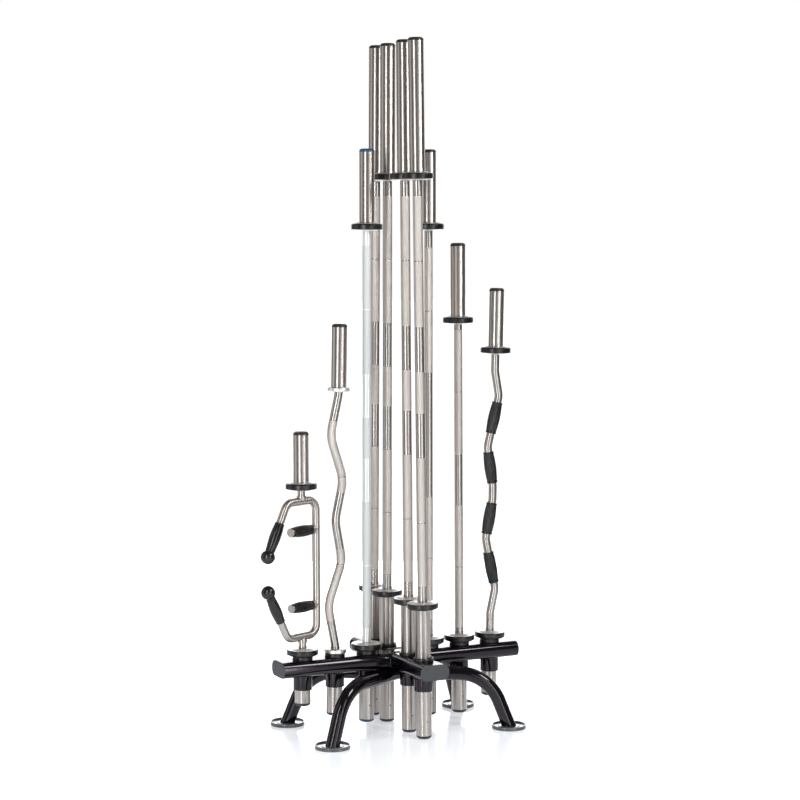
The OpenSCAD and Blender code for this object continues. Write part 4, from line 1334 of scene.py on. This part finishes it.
@dataclass
class MultiGripBar(Bar):
    """The bar with a bent frame, two level handles with grips and two slanting ones with ball ends.

    Attributes:
        tube_d: diameter of the frame's tube.
        rod_d: diameter of the level handles.
        frame_h: height of the frame between the middles of its tube.
        back_x: from the bar's axis to the frame's upright side.
        front_x: from the bar's axis to the bends in front.
        ball_x: from the bar's axis to a ball's middle.
        ball_z: from the bar's middle to a ball's middle, along the bar.
        ball_depth: how far the tube reaches into a ball.
        ball_pole: angle from a ball's pole at which its profile starts, in radians.
        handle_z: from the bar's middle to a level handle, along the bar.
        handle_x: how far a level handle reaches past the bar's axis.
        room: space between a grip and a ring, a disc or a ball.
        frame_turn: turn of the frame about the bar's axis, in degrees.
        collar_l: length of the collar at a neck.
        collar_step: how far the collar stands out from the neck.
    """

    tube_d: float = 25.5
    rod_d: float = 24.0
    frame_h: float = 432.0
    frame_bend: float = 35.0
    back_x: float = 65.0
    front_x: float = 64.0
    ball_x: float = 150.0
    ball_z: float = 56.0
    ball_d: float = 45.0
    ball_neck_d: float = 30.0
    ball_depth: float = 10.0
    ball_pole: float = 0.06
    handle_z: float = 121.0
    handle_x: float = 52.0
    handle_ring_d: float = 28.0
    handle_ring_w: float = 6.0
    level_l: float = 86.0
    slant_l: float = 89.0
    hand_d: float = 36.0
    hand_band: float = 0.6
    hand_band_w: float = 4.0
    room: float = 1.0
    flutes: int = 18
    flute_depth: float = 1.3
    frame_turn: float = 22.0
    collar_l: float = 6.0
    collar_step: float = 2.5

    @property
    def slant(self) -> float:
        """Angle of a slanting handle from the bar's axis."""
        return math.degrees(math.atan2(self.ball_x - self.front_x, self.frame_h / 2 - self.ball_z))

    @property
    def level_x(self) -> float:
        """Where a level grip starts, in front of its inner ring."""
        return self.back_x - self.tube_d / 2 - self.handle_ring_w - 2 * self.room

    def disc(self, foot: float, width: float) -> Array:
        """Draws a ring round a level handle, or the disc at its end, along Z.

        Args:
            foot: height of its lower face.
            width: its width.

        Returns:
            The rows of its surface, which runs on inside the rod and closes there.
        """
        r = self.handle_ring_d / 2
        return turned(rounded(washer(r / 2, r, width), [0, 1.2, 1.2, 0]) + (0, foot), 64)

    def shaft(self) -> None:
        """Makes the frame: one bent tube from ball to ball, level handles with rings, and the necks."""
        mid, half, r = self.length / 2, self.frame_h / 2, self.shaft_d / 2
        frame = self.place @ spun(self.frame_turn)
        slope = math.radians(self.slant)
        way = np.array([math.sin(slope), math.cos(slope)])
        inside = np.array([-self.ball_x, self.ball_z]) + (self.ball_d / 2 - self.ball_depth) * way
        upper = np.array([(self.back_x, half), (-self.front_x, half), inside])
        corners = np.concatenate([upper[::-1] * (1, -1), upper]) + (0, mid)
        path = rounded(np.insert(corners, 1, 0, axis=1), self.frame_bend, 12)
        tube = np.array([[0, self.tube_d / 2], [distances(path)[-1], self.tube_d / 2]])
        piece = Piece(self.name + "_shaft_welded", [SATIN_STEEL, RING_STEEL])
        piece.add(carried(tube, path, 48), frame)
        reach = self.back_x + self.handle_x
        for side in (-1, 1):
            along = frame @ shifted(self.back_x, 0, mid + side * self.handle_z) @ spun(-90, 1)
            piece.add(turned(np.array([(self.rod_d / 2, 0), (self.rod_d / 2, reach - self.room)]), 48), along)
            wide = self.handle_ring_w + self.room
            piece.add(self.disc(self.tube_d / 2 + self.room, self.handle_ring_w), along)
            piece.add(self.disc(reach - wide, wide), along)
        foot, step = mid - half, r + self.collar_step
        high = foot - self.tube_d / 2
        low = high - self.collar_l
        collar = [(low, r), (low, step), (high, step + self.shoulder), (foot, r)]
        neck = np.array([(radius, z) for z, radius in [*self.journal(), *collar]])
        for end in End:
            piece.add(turned(neck, 64), self.at(end))
        self.rings(piece, 1)
        piece.make(self.name + "_shaft", Slot.SHAFT, self.name + "_shaft")

    def grip_pieces(self) -> None:
        """Makes two fluted level grips and two smooth slanting ones, with their ball ends and necks.

        A ball's profile is (R cos t, R sin t), from its far pole to where its neck starts.
        """
        mid, ball, neck = self.length / 2, self.ball_d / 2, self.ball_neck_d / 2
        level, smooth = (
            barrel(length, self.hand_d, self.grip_taper, inner_d / 2 + self.grip_fit, self.hand_band,
                   self.hand_band_w, flutes, self.flute_depth)
            for length, inner_d, flutes in (
                (self.level_l, self.rod_d, self.flutes), (self.slant_l, self.tube_d, 0),
            )
        )
        t = np.linspace(self.ball_pole - math.pi / 2, math.acos(neck / ball), 28)
        side = np.column_stack([ball * np.cos(t), ball * np.sin(t)])
        top = ball + self.room / 2
        neck_side = rounded([(neck, side[-1, 1]), (neck, top), (neck / 2, top)], [0, 0.8, 0])
        balls = turned(np.concatenate([side, neck_side[1:]]), 64)
        piece = Piece(self.name + "_grips_moulded", [GRIP_RUBBER, BALL_BLACK])
        for end in End:
            frame = self.at(end) @ spun(self.frame_turn)
            along = frame @ shifted(self.level_x, 0, mid + self.handle_z) @ spun(-90, 1)
            piece.add(level, along, ring=True)
            tilted = frame @ shifted(-self.ball_x, 0, mid + self.ball_z) @ spun(self.slant, 1)
            piece.add(balls, tilted, finish=1)
            piece.add(smooth, tilted @ shifted(z=ball + self.room), ring=True)
        piece.make(self.name + "_shaft", Slot.GRIP, self.name + "_grips")


def ten_bars(joints: dict[str, dict]) -> list[Bar]:
    """Lists the ten bars as they stand in the photograph.

    Args:
        joints: the frame's joints by name.

    Returns:
        The bars, each ready to build.
    """
    def banded(near: float, mark: float, end: float) -> list[tuple[float, Band]]:
        """Gives the bands from a ground stretch out, with a ring mark in the knurl.

        Args:
            near: where the ground stretch ends.
            mark: where the ring mark starts.
            end: where the knurl ends.

        Returns:
            The outer end and the finish of each band.
        """
        return [(near, Band.GROUND), (mark, Band.KNURL), (mark + 4, Band.MARK), (end, Band.KNURL)]

    centred = [(65, Band.KNURL), *banded(205, 408, 612)]
    long_bars = [
        Bar(name, joints, 412.0, 31.0, bands=centred)
        for name in ("front_outer_bar", "front_inner_bar", "rear_inner_bar", "rear_outer_bar")
    ]
    return long_bars + [
        MultiGripBar("multi_grip_bar", joints, 158.5, 25.0),
        Bar("curl_bar", joints, 200.0, 28.0, rimmed=False, bend_r=120.0,
            bends=[(-6, 0), (20, 131), (-27, 270)], bands=banded(92, 140, 326)),
        Bar("left_straight_bar", joints, 232.0, 28.0, bands=centred,
            caps=CAP_BLUE, ground=ZINC_SMOOTH, knurl=ZINC_KNURL),
        Bar("right_straight_bar", joints, 232.0, 28.0, bands=banded(202, 399, 603)),
        Bar("short_bar", joints, 235.0, 28.0, bands=banded(83, 285, 487)),
        Bar("gripped_curl_bar", joints, 189.0, 28.0, bends=[(0, 22), (-22, 152), (16, 319)],
            straight_end=60.0, grips=[33.0, 196.0]),
    ]

# The studio


def seen_and_mirrored(tree: bpy.types.NodeTree) -> tuple[Socket, Node]:
    """Adds nodes that tell apart the rays that come from the camera and from shiny surfaces.

    Args:
        tree: the node tree of a material or the world.

    Returns:
        What is 1 on the camera's own rays, and what is 1 on reflected and refracted ones.
    """
    rays = add_node(tree, "LightPath").outputs
    mirrored = {0: rays["Is Glossy Ray"], 1: rays["Is Transmission Ray"]}
    return rays["Is Camera Ray"], add_node(tree, "Math", mirrored, operation="MAXIMUM")


@dataclass(frozen=True)
class Softbox:
    """An upright lamp panel that faces the stand.

    Attributes:
        name: the lamp's name.
        start: angle at which it starts, in degrees to the right of the line from the stand to the
            camera, as the camera sees it.
        end: angle at which it ends.
        level: how bright it looks, where 1 is white.
        away: distance from the stand in metres.
        top: height of its upper edge in metres.
        bottom: height of its lower edge in metres.
    """

    name: str
    start: float
    end: float
    level: float
    away: float = 3.2
    top: float = 3.6
    bottom: float = 0.0


@dataclass
class Studio:
    """White sweep, softboxes and the camera, in metres.

    Attributes:
        mirrored_painted_pool: painted light, a pool on the floor round the stand that only reflections see:
        how the floor glows in reflections, from which distance to which, and the levels there.
        seen_glow_painted_shade: the same as the camera sees it, lower near the stand: painted shade round its
        foot.
        backdrop: share of a direction along the camera's view at which the backdrop in reflections
            starts, and at which it is white.
    """

    camera_at: tuple[float, float, float] = (-3.0656, -6.3735, 1.6768)
    camera_tilt: float = 4.953
    camera_turn: float = 26.023
    lens: float = 99.88
    sensor: float = 36.0
    floor_size: float = 60.0
    floor_colour: str = "#eef2f5"
    floor_glow: str = "#f6f9ff"
    floor_roughness: float = 0.15
    mirrored_painted_pool: tuple[float, float, float, float] = (1.5, 4.0, 0.5, 0.0)
    seen_glow_painted_shade: tuple[float, float, float, float] = (0.3, 0.9, 0.43, 0.62)
    backdrop: tuple[float, float] = (0.84, 0.9)
    room_colour: str = "#706d6b"
    softboxes: Sequence[Softbox] = (
        Softbox("left_softbox", -42, -9, 1.2),
        Softbox("left_core", -25.5, -22.5, 20.0, away=3.1),
        Softbox("right_softbox", 25, 50, 1.0, top=2.9, bottom=1.5),
        Softbox("right_low", 8, 44, 1.5, top=1.5),
        Softbox("right_core", 39.5, 42.5, 9.0, away=3.1, top=2.9),
        Softbox("right_top", 53, 72, 17.0, top=4.6, bottom=2.8),
        Softbox("left_bounce", -106, -68, 0.75),
        Softbox("left_back_strip", -152, -140, 1.5),
        Softbox("right_back_strip", 140, 152, 1.5),
        Softbox("back_bank", 158, 202, 2.0, away=3.4, top=2.0),
    )

    def camera(self) -> None:
        """Sets the camera where the photograph was taken from."""
        made = linked("camera", bpy.data.cameras.new("camera"))
        made.data.lens, made.data.sensor_width = self.lens, self.sensor
        made.location = self.camera_at
        made.rotation_euler = (math.radians(90 - self.camera_tilt), 0, math.radians(-self.camera_turn))
        bpy.context.scene.camera = made

    def lamps(self) -> None:
        """Hangs the softboxes. A panel of level L and area A has a power of pi L A."""
        turn = math.radians(self.camera_turn)
        for box in self.softboxes:
            half, mid = (math.radians(v) / 2 for v in (box.end - box.start, box.end + box.start))
            light = bpy.data.lights.new(box.name, "AREA")
            light.shape = "RECTANGLE"
            light.size, light.size_y = 2 * box.away * math.tan(half), box.top - box.bottom
            light.energy = box.level * math.pi * light.size * light.size_y
            lamp = linked(box.name, light)
            way = Vector((-math.sin(turn - mid), -math.cos(turn - mid), 0))
            lamp.location = way * box.away + Vector((0, 0, (box.top + box.bottom) / 2))
            lamp.rotation_euler = (-way).to_track_quat("-Z", "Y").to_euler()
            lamp.visible_camera = False

    def floor(self) -> None:
        """Lays the white floor, which keeps the shadows and faint reflections. Its glow is lower near the
        stand where the camera sees it, a painted shade, and is a painted pool of light round the stand in
        reflections.
        """
        half = self.floor_size / 2
        mesh = bpy.data.meshes.new("floor")
        corners = [(-half, -half, 0), (half, -half, 0), (half, half, 0), (-half, half, 0)]
        mesh.from_pydata(corners, [], [(0, 1, 2, 3)])
        made = linked("floor", mesh)
        paint = bpy.data.materials.new("white_sweep_paint")
        paint.use_nodes = True
        tree = paint.node_tree
        seen, mirrored = seen_and_mirrored(tree)
        here = add_node(tree, "TexCoord").outputs["Object"]
        reach = add_node(tree, "VectorMath", {0: here}, operation="LENGTH").outputs["Value"]
        # Painted light: for reflections the floor glows as a pool round the stand, and for the camera it
        # glows less near the stand, a painted shade.
        glows = []
        for rays, levels in ((mirrored, self.mirrored_painted_pool), (seen, self.seen_glow_painted_shade)):
            spread = dict(zip(("From Min", "From Max", "To Min", "To Max"), levels))
            level = add_node(tree, "MapRange", {"Value": reach, **spread})
            glows.append(add_node(tree, "Math", {0: rays, 1: level}, operation="MULTIPLY"))
        inputs = {
            "Base Color": linear(self.floor_colour),
            "Roughness": self.floor_roughness,
            "Emission Color": linear(self.floor_glow),
            "Emission Strength": add_node(tree, "Math", dict(enumerate(glows)), operation="MAXIMUM"),
        }
        feed(tree, tree.nodes["Principled BSDF"], inputs)
        mesh.materials.append(paint)

    def world(self) -> None:
        """Sets the world: white to the camera and behind the stand, and dim warm grey round the rest."""
        world = bpy.data.worlds.new("studio")
        bpy.context.scene.world = world
        world.use_nodes = True
        tree = world.node_tree
        turn = math.radians(self.camera_turn)
        seen, mirrored = seen_and_mirrored(tree)
        view = {0: add_node(tree, "TexCoord").outputs["Generated"], 1: (math.sin(turn), math.cos(turn), 0)}
        along = add_node(tree, "VectorMath", view, operation="DOT_PRODUCT").outputs["Value"]
        start, full = self.backdrop
        behind = add_node(tree, "MapRange", {"Value": along, "From Min": start, "From Max": full})
        back = add_node(tree, "Math", {0: mirrored, 1: behind}, operation="MULTIPLY")
        white = add_node(tree, "Math", {0: back, 1: seen}, operation="MAXIMUM")
        colours = {0: white, 6: linear(self.room_colour), 7: linear("#ffffff")}
        mixed = add_node(tree, "Mix", colours, data_type="RGBA").outputs[2]
        feed(tree, tree.nodes["Background"], {"Color": mixed})

    def build(self) -> None:
        """Sets up the whole studio."""
        bpy.context.scene.view_settings.view_transform = "Standard"
        self.camera()
        self.lamps()
        self.floor()
        self.world()


def main() -> None:
    """Builds the stand, its bars and the studio, and reports each piece."""
    logging.basicConfig(level=logging.INFO, format="%(name)s: %(message)s")
    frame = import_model()
    low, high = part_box("long_beam")
    Stand(crossing=(low[0] + high[0]) / 2 / MM).build()
    for bar in ten_bars({joint["name"]: joint for joint in frame["joints"]}):
        bar.build()
    Studio().build()


if __name__ == "__main__":
    main()
